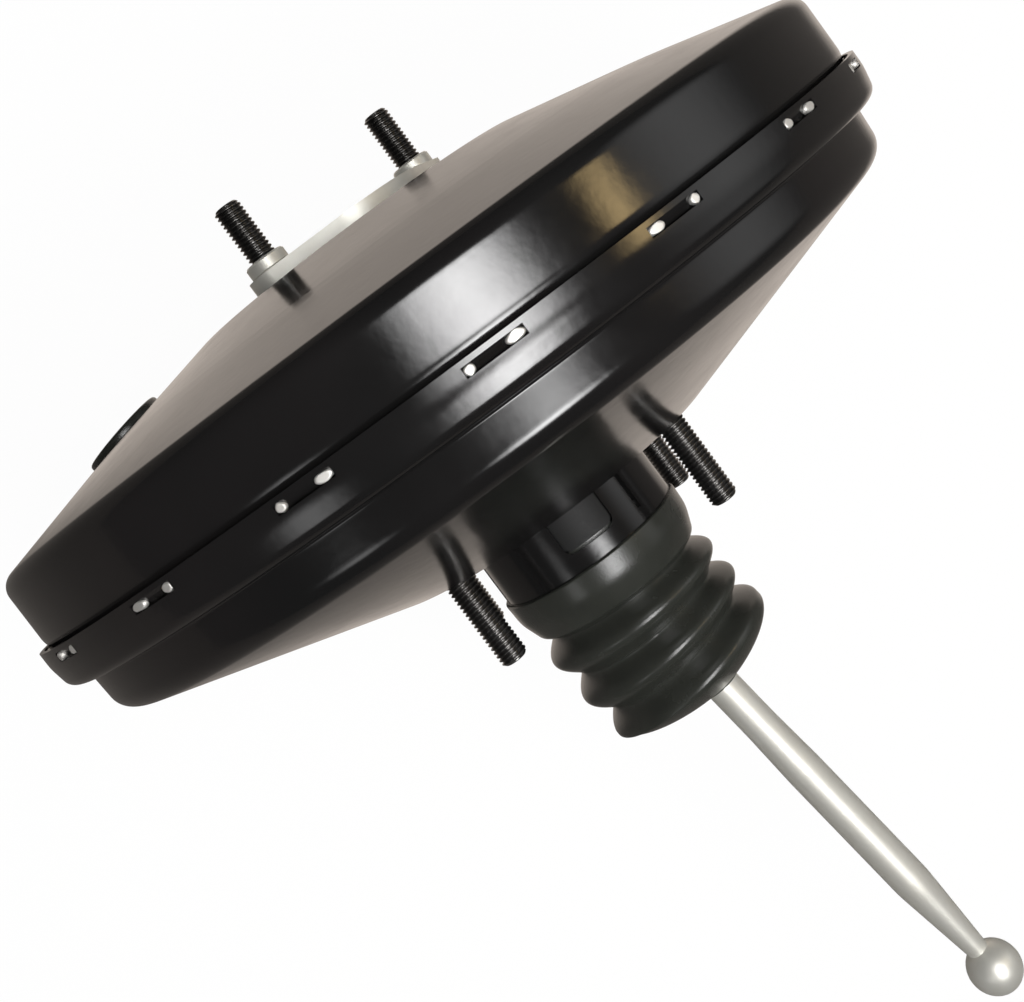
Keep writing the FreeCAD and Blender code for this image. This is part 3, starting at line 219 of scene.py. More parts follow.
class Nodes:
    """The node tree of a material, a world or a light, with short calls to add to it."""

    def __init__(self, owner):
        owner.use_nodes = True
        self.tree = owner.node_tree

    def feed(self, socket, value):
        """Link another node's output to the socket, or set the socket to a plain value."""
        if hasattr(value, "is_output"):
            self.tree.links.new(value, socket)
        else:
            socket.default_value = value

    def new(self, kind, inputs=None, **settings):
        node = self.tree.nodes.new(kind)
        for key, value in settings.items():
            setattr(node, key, value)
        for key, value in (inputs or {}).items():
            self.feed(node.inputs[key], value)
        return node

    def math(self, operation, *values):
        return self.new("ShaderNodeMath", dict(enumerate(values)), operation=operation).outputs["Value"]

    def span(self, value, source, target, **settings):
        """The value, mapped from the source's low and high to the target's."""
        return self.new("ShaderNodeMapRange", {
            "Value": value,
            "From Min": source[0], "From Max": source[1],
            "To Min": target[0], "To Max": target[1],
        }, **settings).outputs["Result"]

    def falloff(self, vector, centre, reach, levels):
        """A smooth fall from one level to the other, over the reach of distances from the centre."""
        distance = self.new("ShaderNodeVectorMath", {0: vector, 1: centre}, operation="DISTANCE")
        return self.span(distance.outputs["Value"], reach, levels, interpolation_type="SMOOTHSTEP")

    def mix(self, factor, a, b):
        node = self.new("ShaderNodeMix", {"Factor": factor}, data_type="RGBA")
        self.feed(node.inputs[MIX_A], a)
        self.feed(node.inputs[MIX_B], b)
        return node.outputs[MIX_RESULT]


class Surface(Nodes):
    """The nodes of a surface material. Patterns are set out in the piece's own coordinates, in metres."""

    def __init__(self, name):
        self.material = bpy.data.materials.new(name)
        super().__init__(self.material)
        self.shader = self.tree.nodes["Principled BSDF"]
        self.place = self.new("ShaderNodeTexCoord").outputs["Object"]

    def set(self, **values):
        for key, value in values.items():
            self.feed(self.shader.inputs[key.replace("_", " ")], value)

    def noise(self, scale, detail, roughness):
        return self.new("ShaderNodeTexNoise", {
            "Vector": self.place, "Scale": scale, "Detail": detail, "Roughness": roughness,
        }).outputs["Fac"]

    def cells(self, scale):
        return self.new("ShaderNodeTexVoronoi", {"Vector": self.place, "Scale": scale}).outputs["Distance"]

    def tinted(self, pattern, source, colour, tint):
        """The colour where the pattern is low, the tint where it is high."""
        return self.mix(self.span(pattern, source, (0.0, 1.0)), (*colour, 1.0), (*tint, 1.0))

    def bump(self, height, strength, distance):
        return self.new("ShaderNodeBump", {
            "Height": height, "Strength": strength, "Distance": distance,
        }).outputs["Normal"]


# Materials: colours are linear, and the tint is the colour of each one's clouds

def gloss_paint(name, colour, tint, roughness):
    """Stoving enamel with fine orange peel and faint handling marks; roughness is (clean, marked)."""
    n = Surface(name)
    cloud = n.noise(scale=14.0, detail=2.0, roughness=0.5)
    peel = n.noise(scale=380.0, detail=2.0, roughness=0.4)
    marks = n.noise(scale=60.0, detail=5.0, roughness=0.65)
    n.set(Base_Color=n.tinted(cloud, (0.35, 0.65), colour, tint),
          Roughness=n.span(marks, (0.3, 0.75), roughness),
          Normal=n.bump(peel, strength=0.05, distance=0.0004),
          IOR=1.5)
    return n.material


def steel(name, colour, tint, roughness, metallic=1.0):
    """Plated or plain steel: fine grain, cloudy colour, worn patches."""
    n = Surface(name)
    cloud = n.noise(scale=90.0, detail=4.0, roughness=0.6)
    grain = n.noise(scale=2600.0, detail=2.0, roughness=0.6)
    n.set(Base_Color=n.tinted(cloud, (0.35, 0.7), colour, tint),
          Roughness=n.span(n.math("ADD", cloud, grain), (0.6, 1.4), (roughness - 0.06, roughness + 0.10)),
          Normal=n.bump(grain, strength=0.03, distance=0.0002),
          Metallic=metallic)
    return n.material


def rubber(name, colour, tint, roughness):
    """Moulded rubber with a fine matt grain and dusty patches."""
    n = Surface(name)
    cloud = n.noise(scale=45.0, detail=4.0, roughness=0.6)
    grain = n.noise(scale=1800.0, detail=3.0, roughness=0.6)
    n.set(Base_Color=n.tinted(cloud, (0.25, 0.8), colour, tint),
          Roughness=n.span(cloud, (0.2, 0.8), (roughness - 0.05, roughness + 0.06)),
          Normal=n.bump(grain, strength=0.12, distance=0.0003),
          IOR=1.5)
    return n.material


def plastic(name, colour, tint, roughness, ior=1.5):
    """Moulded plastic with faint flow clouds and a fine grain."""
    n = Surface(name)
    cloud = n.noise(scale=35.0, detail=3.0, roughness=0.5)
    grain = n.noise(scale=1400.0, detail=2.0, roughness=0.5)
    n.set(Base_Color=n.tinted(cloud, (0.35, 0.65), colour, tint),
          Roughness=n.span(grain, (0.3, 0.7), (roughness - 0.04, roughness + 0.05)),
          Normal=n.bump(grain, strength=0.05, distance=0.0002),
          IOR=ior)
    return n.material


def felt(name, colour, tint):
    """Open felt or foam of the tail filter."""
    n = Surface(name)
    fibre = n.noise(scale=900.0, detail=5.0, roughness=0.7)
    n.set(Base_Color=n.tinted(fibre, (0.35, 0.65), colour, tint),
          Roughness=0.95,
          Normal=n.bump(n.math("ADD", n.cells(scale=1500.0), fibre), strength=0.8, distance=0.0006))
    return n.material


PAINT = gloss_paint("gloss_black_paint", colour=(0.006, 0.006, 0.006), tint=(0.010, 0.009, 0.009),
                    roughness=(0.10, 0.19))
PLAIN_STEEL = steel("pressed_steel", colour=(0.50, 0.49, 0.47), tint=(0.36, 0.34, 0.31), roughness=0.36)
STUD_STEEL = steel("stud_steel", colour=(0.20, 0.195, 0.19), tint=(0.12, 0.115, 0.11), roughness=0.30)
BRIGHT_ZINC = steel("bright_zinc", colour=(0.73, 0.72, 0.665), tint=(0.65, 0.635, 0.58), roughness=0.44,
                    metallic=0.65)
SPRING_STEEL = steel("spring_wire", colour=(0.22, 0.22, 0.23), tint=(0.13, 0.13, 0.14), roughness=0.34)
RUBBER = rubber("black_rubber", colour=(0.019, 0.020, 0.017), tint=(0.0305, 0.032, 0.0275), roughness=0.25)
BARE_STEEL = steel("bare_steel", colour=(0.92, 0.91, 0.88), tint=(0.84, 0.82, 0.78), roughness=0.62)
WHITE_PLASTIC = plastic("natural_plastic", colour=(0.72, 0.70, 0.64), tint=(0.59, 0.574, 0.525),
                        roughness=0.42)
DARK_RESIN = plastic("dark_resin", colour=(0.055, 0.035, 0.025), tint=(0.045, 0.029, 0.0205), roughness=0.45)
FELT = felt("felt", colour=(0.52, 0.50, 0.44), tint=(0.26, 0.25, 0.22))
FOAM = felt("dark_foam", colour=(0.07, 0.07, 0.075), tint=(0.035, 0.035, 0.0375))
BLACK_PLASTIC = plastic("black_plastic", colour=(0.006, 0.006, 0.006), tint=(0.005, 0.005, 0.005),
                        roughness=0.50, ior=1.26)

SLOT_MATERIALS = {
    "shell_paint": PAINT, "plain_steel": PLAIN_STEEL, "stud_steel": STUD_STEEL, "bright_zinc": BRIGHT_ZINC,
    "spring_steel": SPRING_STEEL, "black_rubber": RUBBER, "white_plastic": WHITE_PLASTIC,
    "dark_resin": DARK_RESIN, "felt": FELT, "foam": FOAM, "black_plastic": BLACK_PLASTIC,
}
for subpart in frame["record"]["subparts"]:
    data = nodes[subpart["node"]].data
    data.materials.clear()
    data.materials.append(SLOT_MATERIALS[subpart["material_slot"]])


# Mesh helpers

def add_object(name, data):
    obj = bpy.data.objects.new(name, data)
    bpy.context.scene.collection.objects.link(obj)
    return obj


def add_mesh(name, vertices, faces, material, sharp_angle=SHARP_ANGLE):
    """A piece from points in millimetres."""
    mesh = bpy.data.meshes.new(name)
    mesh.from_pydata([(x * MM, y * MM, z * MM) for x, y, z in vertices], [], faces)
    mesh.materials.append(material)
    soften(mesh, sharp_angle)
    return add_object(name, mesh)


def soften(mesh, sharp_angle=SHARP_ANGLE):
    """Outward faces, smooth shading, and sharp edges where the surface turns by more than the angle."""
    work = bmesh.new()
    work.from_mesh(mesh)
    bmesh.ops.recalc_face_normals(work, faces=work.faces)
    for face in work.faces:
        face.smooth = True
    limit = math.radians(sharp_angle)
    for edge in work.edges:
        edge.smooth = len(edge.link_faces) == 2 and edge.calc_face_angle(0.0) < limit
    work.to_mesh(mesh)
    work.free()


def skin(rings, closed):
    """Vertices and faces through rings of equal count: closed on itself, or with a fan on each end."""
    sides = len(rings[0])
    vertices = [point for ring in rings for point in ring]
    faces = []
    for i in range(len(rings) if closed else len(rings) - 1):
        a, b = i * sides, ((i + 1) % len(rings)) * sides
        faces += [(a + j, a + (j + 1) % sides, b + (j + 1) % sides, b + j) for j in range(sides)]
    if not closed:
        for i in (0, len(rings) - 1):
            vertices.append(tuple(sum(axis) / sides for axis in zip(*rings[i])))
            faces += [(i * sides + j, i * sides + (j + 1) % sides, len(vertices) - 1) for j in range(sides)]
    return vertices, faces


def rounded_path(points, radii, step=BEND_STEP):
    """Points along a path whose inner corners are rounded; step is in degrees."""
    path = [Vector(points[0])]
    for before, corner, after, radius in zip(points[:-2], points[1:-1], points[2:], radii):
        c = Vector(corner)
        to_a, to_b = Vector(before) - c, Vector(after) - c
        half = to_a.angle(to_b) / 2
        setback = min(radius / math.tan(half), BEND_SHARE * min(to_a.length, to_b.length))
        to_a.normalize()
        to_b.normalize()
        rise = setback * math.tan(half)
        centre = c + (to_a + to_b).normalized() * (rise / math.sin(half))
        u, v = c + to_a * setback - centre, c + to_b * setback - centre
        sweep = math.pi - 2 * half
        count = max(2, math.ceil(math.degrees(sweep) / step))
        for i in range(count + 1):
            t = sweep * i / count
            path.append(centre + (u * math.sin(sweep - t) + v * math.sin(t)) / math.sin(sweep))
    return path + [Vector(points[-1])]


def guarded(path):
    """The path with one more point near each end of a long straight run, so that shading stays even there."""
    result = [path[0]]
    for a, b in zip(path[:-1], path[1:]):
        along = b - a
        if along.length > GUARDED_RUN:
            along = along.normalized() * GUARD
            result += [a + along, b - along]
        result.append(b)
    return result


def offset_path(points, distance):
    """The path moved to its left by the distance."""
    normals = []
    for a, b in zip(points[:-1], points[1:]):
        along = (Vector(b) - Vector(a)).normalized()
        normals.append(Vector((-along.y, along.x)))
    moved = [Vector(points[0]) + normals[0] * distance]
    for corner, n0, n1 in zip(points[1:-1], normals[:-1], normals[1:]):
        moved.append(Vector(corner) + (n0 + n1) * (distance / (1 + n0.dot(n1))))
    return moved + [Vector(points[-1]) + normals[-1] * distance]


def sheet_outline(points, radii, thickness):
    """Closed outline of a sheet: one face follows the points, the other lies to its left by the thickness."""
    other_radii = []
    for i, radius in enumerate(radii):
        a, c, b = (Vector(p) for p in points[i:i + 3])
        side = 1 if (c - a).cross(b - c) > 0 else -1
        other_radii.append(max(radius - side * thickness, SMALLEST_BEND))
    face = rounded_path(points, radii)
    back = rounded_path(offset_path(points, thickness), other_radii)
    return guarded(face) + guarded(back)[::-1]


def turned(name, outline, material):
    """A skin turned about the X axis from a closed outline."""
    turns = [(math.cos(a), math.sin(a)) for a in (2 * math.pi * j / ROUND for j in range(ROUND))]
    rings = [[(x, r * c, r * s) for c, s in turns] for x, r in outline]
    return add_mesh(name, *skin(rings, True), material)


def prism(outline, place, low, high):
    """A block whose outline of (u, v) points runs from low to high along w, set down by place(u, v, w)."""
    rings = [[place(u, v, w) for u, v in outline] for w in (low, high)]
    return skin(rings, False)


def about_x(point, degrees):
    """The point turned about the X axis, from +Y towards +Z."""
    x, y, z = point
    c, s = math.cos(math.radians(degrees)), math.sin(math.radians(degrees))
    return (x, y * c - z * s, y * s + z * c)


def along_x(u, v, w):
    return (w, u, v)


def turns_of(count):
    """Angles in degrees of a count of even places round the axis."""
    return [i * 360.0 / count for i in range(count)]


def even(start, end, count):
    """Places from start to end, with a count of even steps between them."""
    return [start + (end - start) * i / count for i in range(count + 1)]


def round_outline(radius, sides, y=0.0, z=0.0):
    angles = (2 * math.pi * j / sides for j in range(sides))
    return [(y + radius * math.cos(a), z + radius * math.sin(a)) for a in angles]


def joined(blocks):
    """One list of vertices and faces from several."""
    vertices, faces = [], []
    for block_vertices, block_faces in blocks:
        start = len(vertices)
        vertices += block_vertices
        faces += [tuple(i + start for i in face) for face in block_faces]
    return vertices, faces


def boolean(obj, blocks, operation="DIFFERENCE"):
    """Cut the blocks out of the piece, or fuse them with it."""
    tool = add_mesh("tool", *joined(blocks), obj.data.materials[0])
    change = obj.modifiers.new("change", "BOOLEAN")
    change.operation, change.solver, change.object = operation, "EXACT", tool
    result = bpy.data.meshes.new_from_object(obj.evaluated_get(bpy.context.evaluated_depsgraph_get()))
    obj.modifiers.clear()
    obj.data = result
    tool_mesh = tool.data
    bpy.data.objects.remove(tool)
    bpy.data.meshes.remove(tool_mesh)
    soften(result)


# Shells

def front_cone():
    foot, edge = Vector((FRONT_CORNER_X, DRUM_R)), Vector((FRONT_PLATEAU_X, FRONT_PLATEAU_R))
    return [foot, (foot + edge) / 2 + Vector((FRONT_DOME_RISE, 0)), edge]


def grommet_frame():
    """Place of the grommet on the front cone, and the cone's outward direction there."""
    foot, middle, edge = front_cone()
    start, end = (middle, edge) if GROMMET_AT_R < middle.y else (foot, middle)
    along = end - start
    place = start + along * ((GROMMET_AT_R - start.y) / along.y)
    return place, Vector((-along.y, along.x)).normalized()


def on_grommet(u, v, w):
    """The point at (u, v) across the grommet and w out of the cone."""
    place, out = grommet_frame()
    return (place.x + out.x * w - out.y * u, place.y + out.y * w + out.x * u, v)


def front_shell():
    """Flange inside the band, waist, drum, shallow cone, plateau and pilot bore, with the grommet's hole."""
    waist_r = DRUM_R - WAIST_DEPTH
    points = [
        (FLANGE_X, BAND_R - SHEET - FLANGE_GAP), (FLANGE_X, waist_r),
        (FLANGE_X + WAIST_LENGTH / 2, waist_r), (FLANGE_X + WAIST_LENGTH + WAIST_DEPTH, DRUM_R),
        *front_cone(),
        (FRONT_PLATEAU_X, PILOT_R), (FRONT_PLATEAU_X - PILOT_DEPTH, PILOT_R),
    ]
    bends = [BEND / 2, BEND, 3 * BEND, FRONT_CORNER_BEND, FRONT_DOME_BEND, 3 * BEND, BEND]
    shell = turned("front_shell_skin", sheet_outline(points, bends, -SHEET), PAINT)
    hole = round_outline(GROMMET_HOLE_R, GROMMET_HOLE_SIDES)
    boolean(shell, [prism(hole, on_grommet, -4 * SHEET, 4 * SHEET)])
    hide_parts("front_shell")
    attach(shell, "housing")


def sector(points, width, degrees):
    """An (x, radius) outline swept about X over the width at the rim, centred at an angle."""
    half = math.degrees(width / BAND_R) / 2
    turns = even(degrees - half, degrees + half, TAB_ROWS)
    return skin([[about_x((x, 0, r), turn) for x, r in points] for turn in turns], False)


def tab_slots():
    front = FLANGE_X + TAB_SLOT
    slot = [(FLANGE_X, BAND_R + SHEET), (FLANGE_X, BAND_R - 2 * SHEET),
            (front, BAND_R - 2 * SHEET), (front, BAND_R + SHEET)]
    return [sector(slot, TAB_WIDTH, turn) for turn in turns_of(TAB_COUNT)]


def tongues():
    root, tip = FLANGE_X + TAB_SLOT + TAB_ROOT, FLANGE_X + TAB_GAP
    tongue = [(root, BAND_R - TAB_SKIN_GAP), (tip, BAND_R - TAB_SINK),
              (tip, BAND_R - TAB_SINK - SHEET), (root, BAND_R - SHEET + TAB_SKIN_GAP)]
    return [sector(tongue, TAB_WIDTH - 2 * TAB_SIDE_GAP, turn) for turn in turns_of(TAB_COUNT)]


def burr(number, end):
    """One burr of a slot, at its low (-1) or high (1) end. Its size and outline follow from its number."""
    length = BURR_LENGTH * (1 + BURR_SPREAD * math.sin(BURR_LENGTH_PHASE * number + BURR_END_PHASE * end))
    in_from_end = math.degrees((TAB_WIDTH - length) / 2 / BAND_R)
    turn = turns_of(TAB_COUNT)[number] + end * in_from_end
    rings = []
    for polar in even(0, math.pi, BURR_ROWS)[1:-1]:
        ring = []
        for side in range(BURR_SIDES):
            angle = 2 * math.pi * side / BURR_SIDES
            lobes = math.sin(2 * angle + BURR_WOBBLE_PHASE * number) * math.cos(3 * polar + end)
            across = BURR_WIDTH / 2 * math.sin(polar) * math.cos(angle) * (1 + BURR_WOBBLE * lobes)
            rise = min(BURR_STEEPNESS * math.sin(polar) * math.sin(angle), 1.0)
            r = BAND_R - BURR_HEIGHT + (BURR_HEIGHT - BURR_SINK) * rise
            place = (FLANGE_X + TAB_SLOT / 2 + across, length / 2 * math.cos(polar), r)
            ring.append(about_x(place, turn))
        rings.append(ring)
    return skin(rings, False)


def slot_burrs():
    """Bare bright burrs where each tongue is sheared from the band, at both ends of its slot."""
    blocks = [burr(number, end) for number in range(TAB_COUNT) for end in (-1, 1)]
    piece = add_mesh("slot_burrs", *joined(blocks), BARE_STEEL, BURR_SHARP_ANGLE)
    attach(piece, "housing")


def window_block(degrees):
    """Block through a neck window: a rectangle with round corners."""
    x0, x1 = WINDOW_CENTRE_X - WINDOW_LENGTH / 2, WINDOW_CENTRE_X + WINDOW_LENGTH / 2
    y = WINDOW_WIDTH / 2
    corners = [(WINDOW_CENTRE_X, -y), (x1, -y), (x1, y), (x0, y), (x0, -y), (WINDOW_CENTRE_X, -y)]
    outline = rounded_path(corners, [WINDOW_CORNER] * 4, SMALL_BEND_STEP)[:-1]
    return prism(outline, lambda u, v, w: about_x((u, v, w), degrees), *WINDOW_BLOCK)


def slit_block(degrees):
    """Block through the narrow slit beside a window."""
    x0, x1 = WINDOW_CENTRE_X - SLIT_LENGTH / 2, WINDOW_CENTRE_X + SLIT_LENGTH / 2
    y = SLIT_WIDTH / 2
    outline = [(x0, -y), (x1, -y), (x1, y), (x0, y)]
    return prism(outline, lambda u, v, w: about_x((u, v, w), degrees), *SLIT_BLOCK)


def rear_shell():
    """Crimped band, wall, cone, mounting face and neck, with tongues, windows, slits and stud holes."""
    points = [
        (BAND_REAR_X + BAND_LENGTH, BAND_R), (BAND_CROWN_X, BAND_R), (BAND_REAR_X, BAND_R - BAND_CROWN_DROP),
        (BAND_REAR_X, REAR_WALL_R), (REAR_CORNER_X, REAR_WALL_R - REAR_WALL_TAPER), (0.0, REAR_PLATEAU_R),
        (0.0, NECK_R), (-NECK_LENGTH, NECK_R),
    ]
    bends = [BAND_CROWN_BEND, BAND_REAR_BEND, BEND / 2, REAR_CORNER_BEND, REAR_PLATEAU_BEND, BEND]
    shell = turned("rear_shell_skin", sheet_outline(points, bends, SHEET), PAINT)
    boolean(shell, tab_slots())
    boolean(shell, tongues(), "UNION")
    turns = turns_of(WINDOW_COUNT)
    boolean(shell, [window_block(turn) for turn in turns] + [slit_block(turn + SLIT_ANGLE) for turn in turns])
    holes = [round_outline(STUD_HOLE_R, STUD_SIDES, y, z) for y, z in REAR_STUD_PLACES]
    boolean(shell, [prism(hole, along_x, -SHEET, 3 * SHEET) for hole in holes])
    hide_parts("rear_shell")
    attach(shell, "housing")


# Studs and grommet

def thread_radius(turns):
    """Radius of the thread at a place counted in turns: flat crest, sloping flanks, narrow root."""
    rise = abs((turns % 1.0) * 2 - 1)
    share = min(max((rise - THREAD_ROOT_SHARE) / THREAD_FLANK_SHARE, 0.0), 1.0)
    return THREAD_ROOT_R + (THREAD_CREST_R - THREAD_ROOT_R) * share


def thread_ring(x, y, z, turns, cap):
    """A ring of the thread round a stud's axis; the cap holds it inside the tip's chamfer."""
    ring = []
    for side in range(STUD_SIDES):
        r = min(thread_radius(turns + side / STUD_SIDES), cap)
        angle = 2 * math.pi * side / STUD_SIDES
        ring.append((x, y + r * math.cos(angle), z + r * math.sin(angle)))
    return ring


def threaded_stud(seat_x, thread_x, tip_x, y, z):
    """Vertices and faces of one stud: head, plain shank, and a thread with a chamfered tip."""
    way = 1 if tip_x > seat_x else -1
    rows = [
        (seat_x - way * STUD_HEAD_HEIGHT, STUD_HEAD_R), (seat_x, STUD_HEAD_R),
        (seat_x, STUD_SHANK_R), (thread_x - way * STUD_SHANK_CHAMFER, STUD_SHANK_R),
        (thread_x, STUD_SHANK_R - STUD_SHANK_CHAMFER),
    ]
    rings = [[(x, u, v) for u, v in round_outline(r, STUD_SIDES, y, z)] for x, r in rows]
    length = abs(tip_x - thread_x)
    for run in even(0, length, int(length * THREAD_STEPS / THREAD_PITCH))[1:]:
        cap = THREAD_CREST_R - max(STUD_CHAMFER - (length - run), 0)
        rings.append(thread_ring(thread_x + way * run, y, z, run / THREAD_PITCH, cap))
    return skin(rings, False)


def studs():
    """Two studs through the front plateau and four through the mounting face."""
    turn = math.radians(FRONT_STUD_ANGLE)
    y, z = FRONT_STUD_CIRCLE_R * math.cos(turn), FRONT_STUD_CIRCLE_R * math.sin(turn)
    front_seat = FRONT_PLATEAU_X - SHEET - PLATE_THICKNESS
    rear_seat = SHEET + PLATE_THICKNESS
    front_places = [(y, z), (-y, -z)]
    front = [threaded_stud(front_seat, COLLAR_FRONT_X, FRONT_STUD_TIP_X, *place) for place in front_places]
    rear = [threaded_stud(rear_seat, 0.0, -REAR_STUD_LENGTH, *place) for place in REAR_STUD_PLACES]
    for name, node, blocks in (("front_stud_threads", "master_cylinder_studs", front),
                               ("rear_stud_threads", "firewall_studs", rear)):
        piece = add_mesh(name, *joined(blocks), STUD_STEEL, SOFT_SHARP_ANGLE)
        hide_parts(node)
        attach(piece, "housing")


def grommet():
    """Rubber grommet with rounded lips on both sides of the front cone's sheet."""
    inside = -SHEET - GROMMET_INNER_GAP
    tail = inside - GROMMET_INNER_LENGTH
    groove = GROMMET_HOLE_R - GROMMET_FIT
    corners = [
        (GROMMET_FIT, groove, SMALLEST_BEND),
        (GROMMET_FIT, GROMMET_FLANGE_R, GROMMET_FLANGE_ROOT_BEND),
        (GROMMET_PROUD, GROMMET_FLANGE_R, GROMMET_FLANGE_BEND),
        (GROMMET_PROUD, GROMMET_BORE_R, GROMMET_MOUTH_BEND),
        (tail, GROMMET_BORE_R, GROMMET_TAIL_BEND),
        (tail, groove, GROMMET_TAIL_BEND),
        (inside, GROMMET_INNER_R, GROMMET_INNER_BEND),
        (inside, groove, SMALLEST_BEND),
    ]
    seam = (inside / 2, groove)
    points = [seam, *[(w, r) for w, r, bend in corners], seam]
    outline = guarded(rounded_path(points, [bend for w, r, bend in corners], SMALL_BEND_STEP))[:-1]
    rings = [[on_grommet(u, v, w) for u, v in round_outline(r, GROMMET_SIDES)] for w, r in outline]
    piece = add_mesh("vacuum_grommet_skin", *skin(rings, True), RUBBER)
    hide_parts("vacuum_grommet")
    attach(piece, "housing")


# Dust boot

def boot_middle(s):
    """Point of the boot's middle line at the place s, and the line's angle in the XY plane."""
    x = BOOT_FRONT_X - s
    run = BOOT_CREST_S - BOOT_CUFF_LENGTH
    if s <= BOOT_CREST_S:
        u = max(s - BOOT_CUFF_LENGTH, 0) / run
        return Vector((x, -BOOT_DOME_OFFSET * u * u, 0)), math.atan(2 * BOOT_DOME_OFFSET * u / run)
    tilt = math.radians(ROD_TILT)
    rod_y = -(PIVOT_X - x) * math.tan(tilt)
    u = min((s - BOOT_CREST_S) / BOOT_DOME_LENGTH, 1)
    return Vector((x, rod_y * u - BOOT_DOME_OFFSET * (1 - u), 0)), tilt


def boot_ring(s, radius):
    """A ring of the boot, square to its middle line."""
    centre, tilt = boot_middle(s)
    side = Vector((-math.sin(tilt), math.cos(tilt), 0))
    ring = []
    for across, z in round_outline(radius, BOOT_SIDES):
        point = centre + side * across
        ring.append((point.x, point.y, z))
    return ring


def fold_radius(s):
    """Outer radius of the folds, with round crests and round grooves."""
    phase = (s - BOOT_CUFF_LENGTH) / BOOT_PITCH
    return BOOT_GROOVE_R + (BOOT_CREST_R - BOOT_GROOVE_R) * abs(math.sin(math.pi * phase)) ** BOOT_FOLD_POWER


def dome_radius(s):
    """Outer radius from the last crest to the lip's end."""
    part = min((s - BOOT_CREST_S) / (BOOT_DOME_LENGTH + BOOT_DOME_TAIL), 1)
    end = BOOT_LIP_R + BOOT_WALL
    return end + (BOOT_CREST_R - end) * (1 - part ** BOOT_DOME_POWER)


def boot_piece(name, outer):
    """A thin closed rubber skin whose outside follows the (s, radius) points."""
    inner = [(s, r - BOOT_WALL) for s, r in outer]
    rings = [boot_ring(s, r) for s, r in outer + inner[::-1]]
    piece = add_mesh(name, *skin(rings, True), RUBBER, SOFT_SHARP_ANGLE)
    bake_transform(piece)
    return piece


def cuff_profile():
    """(s, radius) points of the smooth cuff, from its edge to the first groove."""
    points = [(0.0, BOOT_CUFF_R - BOOT_CUFF_EDGE), (BOOT_CUFF_EDGE, BOOT_CUFF_R),
              (BOOT_CUFF_TAPER_S, BOOT_CUFF_R - BOOT_CUFF_TAPER),
              (BOOT_CUFF_FOOT_S, BOOT_CUFF_R - BOOT_CUFF_FOOT_DROP), (BOOT_CUFF_LENGTH, BOOT_GROOVE_R)]
    bends = [BOOT_CUFF_EDGE, BOOT_CUFF_TAPER_BEND, BOOT_CUFF_FOOT_BEND]
    return [(s, r) for s, r in rounded_path(points, bends, CUFF_BEND_STEP)[:-1]]


def dust_boot():
    """The boot as three skins: cuff and folds, dome, and the lip round the rod."""
    lip_s = BOOT_CREST_S + BOOT_DOME_LENGTH * BOOT_DOME_SHARE
    end_s = BOOT_CREST_S + BOOT_DOME_LENGTH + BOOT_LIP_LENGTH
    folds = [(s, fold_radius(s)) for s in even(BOOT_CUFF_LENGTH, BOOT_GROOVE_S, FOLD_ROWS)]
    dome = [(s, fold_radius(s)) for s in even(BOOT_GROOVE_S, BOOT_CREST_S, GROOVE_ROWS)]
    dome += [(s, dome_radius(s)) for s in even(BOOT_CREST_S, lip_s, DOME_ROWS)[1:]]
    lip = [(s, dome_radius(s)) for s in even(lip_s, end_s, LIP_ROWS)]
    first = boot_piece("dust_boot_folds", cuff_profile() + folds)
    boot_piece("dust_boot_dome", dome)
    boot_piece("dust_boot_lip", lip)
    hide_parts("dust_boot")


front_shell()
rear_shell()
slot_burrs()
studs()
grommet()
dust_boot()


# Stage and light

def pale_floor():
    """White to the eye, a painted pool of light round the part in a dim room to gloss, and a plain pale
    surface for light and shadow.
    """
    h = FLOOR_SIZE / 2
    mesh = bpy.data.meshes.new("floor")
    corners = [(-h, -h, FLOOR_Z), (h, -h, FLOOR_Z), (h, h, FLOOR_Z), (-h, h, FLOOR_Z)]
    mesh.from_pydata(corners, [], [(0, 1, 2, 3)])
    floor = add_object("floor", mesh)
    material = bpy.data.materials.new("floor")
    mesh.materials.append(material)
    n = Nodes(material)
    path = n.new("ShaderNodeLightPath").outputs
    gloss = path["Is Glossy Ray"]
    seen = n.math("MAXIMUM", path["Is Camera Ray"], path["Is Transmission Ray"])
    place = n.new("ShaderNodeTexCoord").outputs["Object"]
    # painted pool of light: the floor glows for glossy rays, brightest under the part, fading outward
    glow_pool = n.falloff(place, GLOW_POOL_CENTRE, (GLOW_POOL_NEAR, GLOW_POOL_FAR), (GLOW_POOL_PEAK, FLOOR_GLOW))
    glow = n.new("ShaderNodeEmission", {
        "Color": n.mix(gloss, WHITE, GLOW_POOL_COLOUR),
        "Strength": n.math("ADD", seen, n.math("MULTIPLY", glow_pool, gloss)),
    })
    diffuse = n.new("ShaderNodeBsdfDiffuse", {"Color": FLOOR_COLOUR})
    share = n.math("MULTIPLY", n.math("MAXIMUM", seen, gloss), FLOOR_WHITE)
    mixed = n.new("ShaderNodeMixShader", {0: share, 1: diffuse.outputs[0], 2: glow.outputs[0]})
    n.feed(n.tree.nodes["Material Output"].inputs["Surface"], mixed.outputs[0])


def room():
    """Even light from all round: white to the eye, dim in gloss."""
    world = bpy.data.worlds.new("room")
    bpy.context.scene.world = world
    n = Nodes(world)
    path = n.new("ShaderNodeLightPath").outputs
    plain = n.math("MULTIPLY_ADD", path["Is Camera Ray"], 1.0 - ROOM_DIFFUSE, ROOM_DIFFUSE)
    dimmed = n.math("MULTIPLY", path["Is Glossy Ray"], ROOM_DIFFUSE - ROOM_GLOW)
    background = n.tree.nodes["Background"]
    n.feed(background.inputs["Color"], WHITE)
    n.feed(background.inputs["Strength"], n.math("SUBTRACT", plain, dimmed))


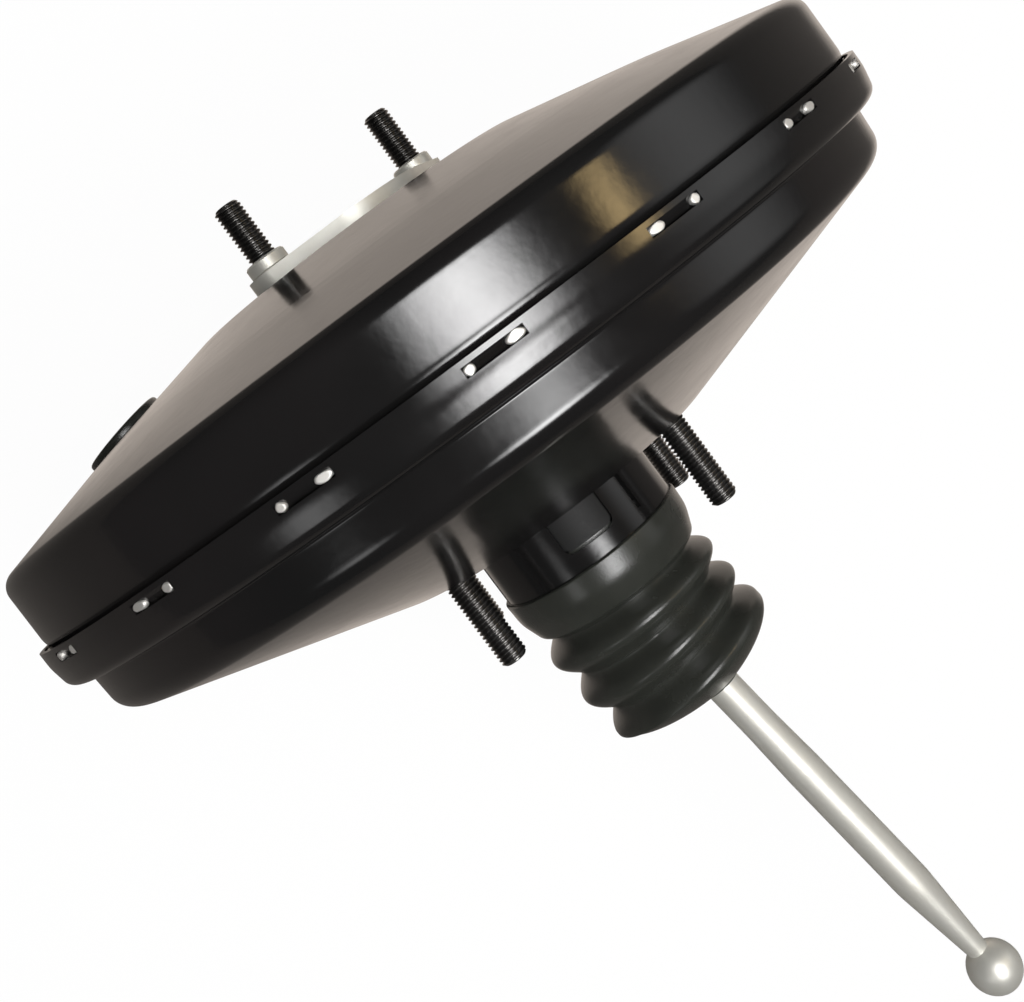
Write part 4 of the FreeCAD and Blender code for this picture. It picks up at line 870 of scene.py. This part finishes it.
def soft_light(name, at, look_at, width, height, peak, colour=WHITE[:3]):
    """An oval softbox that fades from its peak of brightness in the middle to nothing at its rim."""
    light = bpy.data.lights.new(name, "AREA")
    light.shape = "ELLIPSE"
    light.size, light.size_y = width, height
    area = math.pi / 4 * width * height
    light.energy = math.pi * area       # so a strength of 1 in its nodes is as bright as plain white
    light.color = colour
    n = Nodes(light)
    place = n.new("ShaderNodeNewGeometry").outputs["Parametric"]
    fade = n.falloff(place, LIGHT_MIDDLE, (0.0, LIGHT_RIM), (peak, 0.0))
    n.feed(n.tree.nodes["Emission"].inputs["Strength"], fade)
    lamp = add_object(name, light)
    lamp.location = at
    lamp.rotation_euler = (Vector(look_at) - Vector(at)).to_track_quat("-Z", "Y").to_euler()


pale_floor()
room()
soft_light("key_softbox", at=(0.03, -0.13, 1.15), look_at=(0.04, -0.02, 0),
           width=0.55, height=0.80, peak=22.0)
soft_light("rear_softbox", at=(-0.38, -0.12, 1.12), look_at=(-0.05, -0.02, 0),
           width=0.78, height=0.50, peak=24.0)
soft_light("warm_lamp", at=(0.02, -0.80, 0.90), look_at=(0.04, 0, 0),
           width=0.30, height=0.30, peak=9.0, colour=WARM)
soft_light("right_fill", at=(0.0, -1.35, 0.65), look_at=(0.04, 0, 0),
           width=1.9, height=1.5, peak=1.0)
soft_light("left_fill", at=(-0.35, 0.75, 0.75), look_at=(-0.05, 0, 0),
           width=0.45, height=0.45, peak=2.6)


# Camera

camera_data = bpy.data.cameras.new("camera")
camera = add_object("camera", camera_data)
bpy.context.scene.camera = camera
forward = (LOOK_AT - CAMERA_AT).normalized()
right = (IMAGE_RIGHT - forward * IMAGE_RIGHT.dot(forward)).normalized()
up = right.cross(forward)
axes = Matrix((right, up, -forward)).transposed()
camera.matrix_world = Matrix.Translation(CAMERA_AT) @ axes.to_4x4()
camera_data.sensor_fit = "HORIZONTAL"
camera_data.sensor_width = SENSOR
camera_data.lens = FOCAL_PX * SENSOR / IMAGE_W
camera_data.shift_x = (IMAGE_W / 2 - LOOK_PIXEL[0]) / IMAGE_W
camera_data.shift_y = -(IMAGE_H / 2 - LOOK_PIXEL[1]) / IMAGE_W
camera_data.clip_start, camera_data.clip_end = CLIP_NEAR, CLIP_FAR

bpy.context.scene.view_settings.view_transform = "Standard"
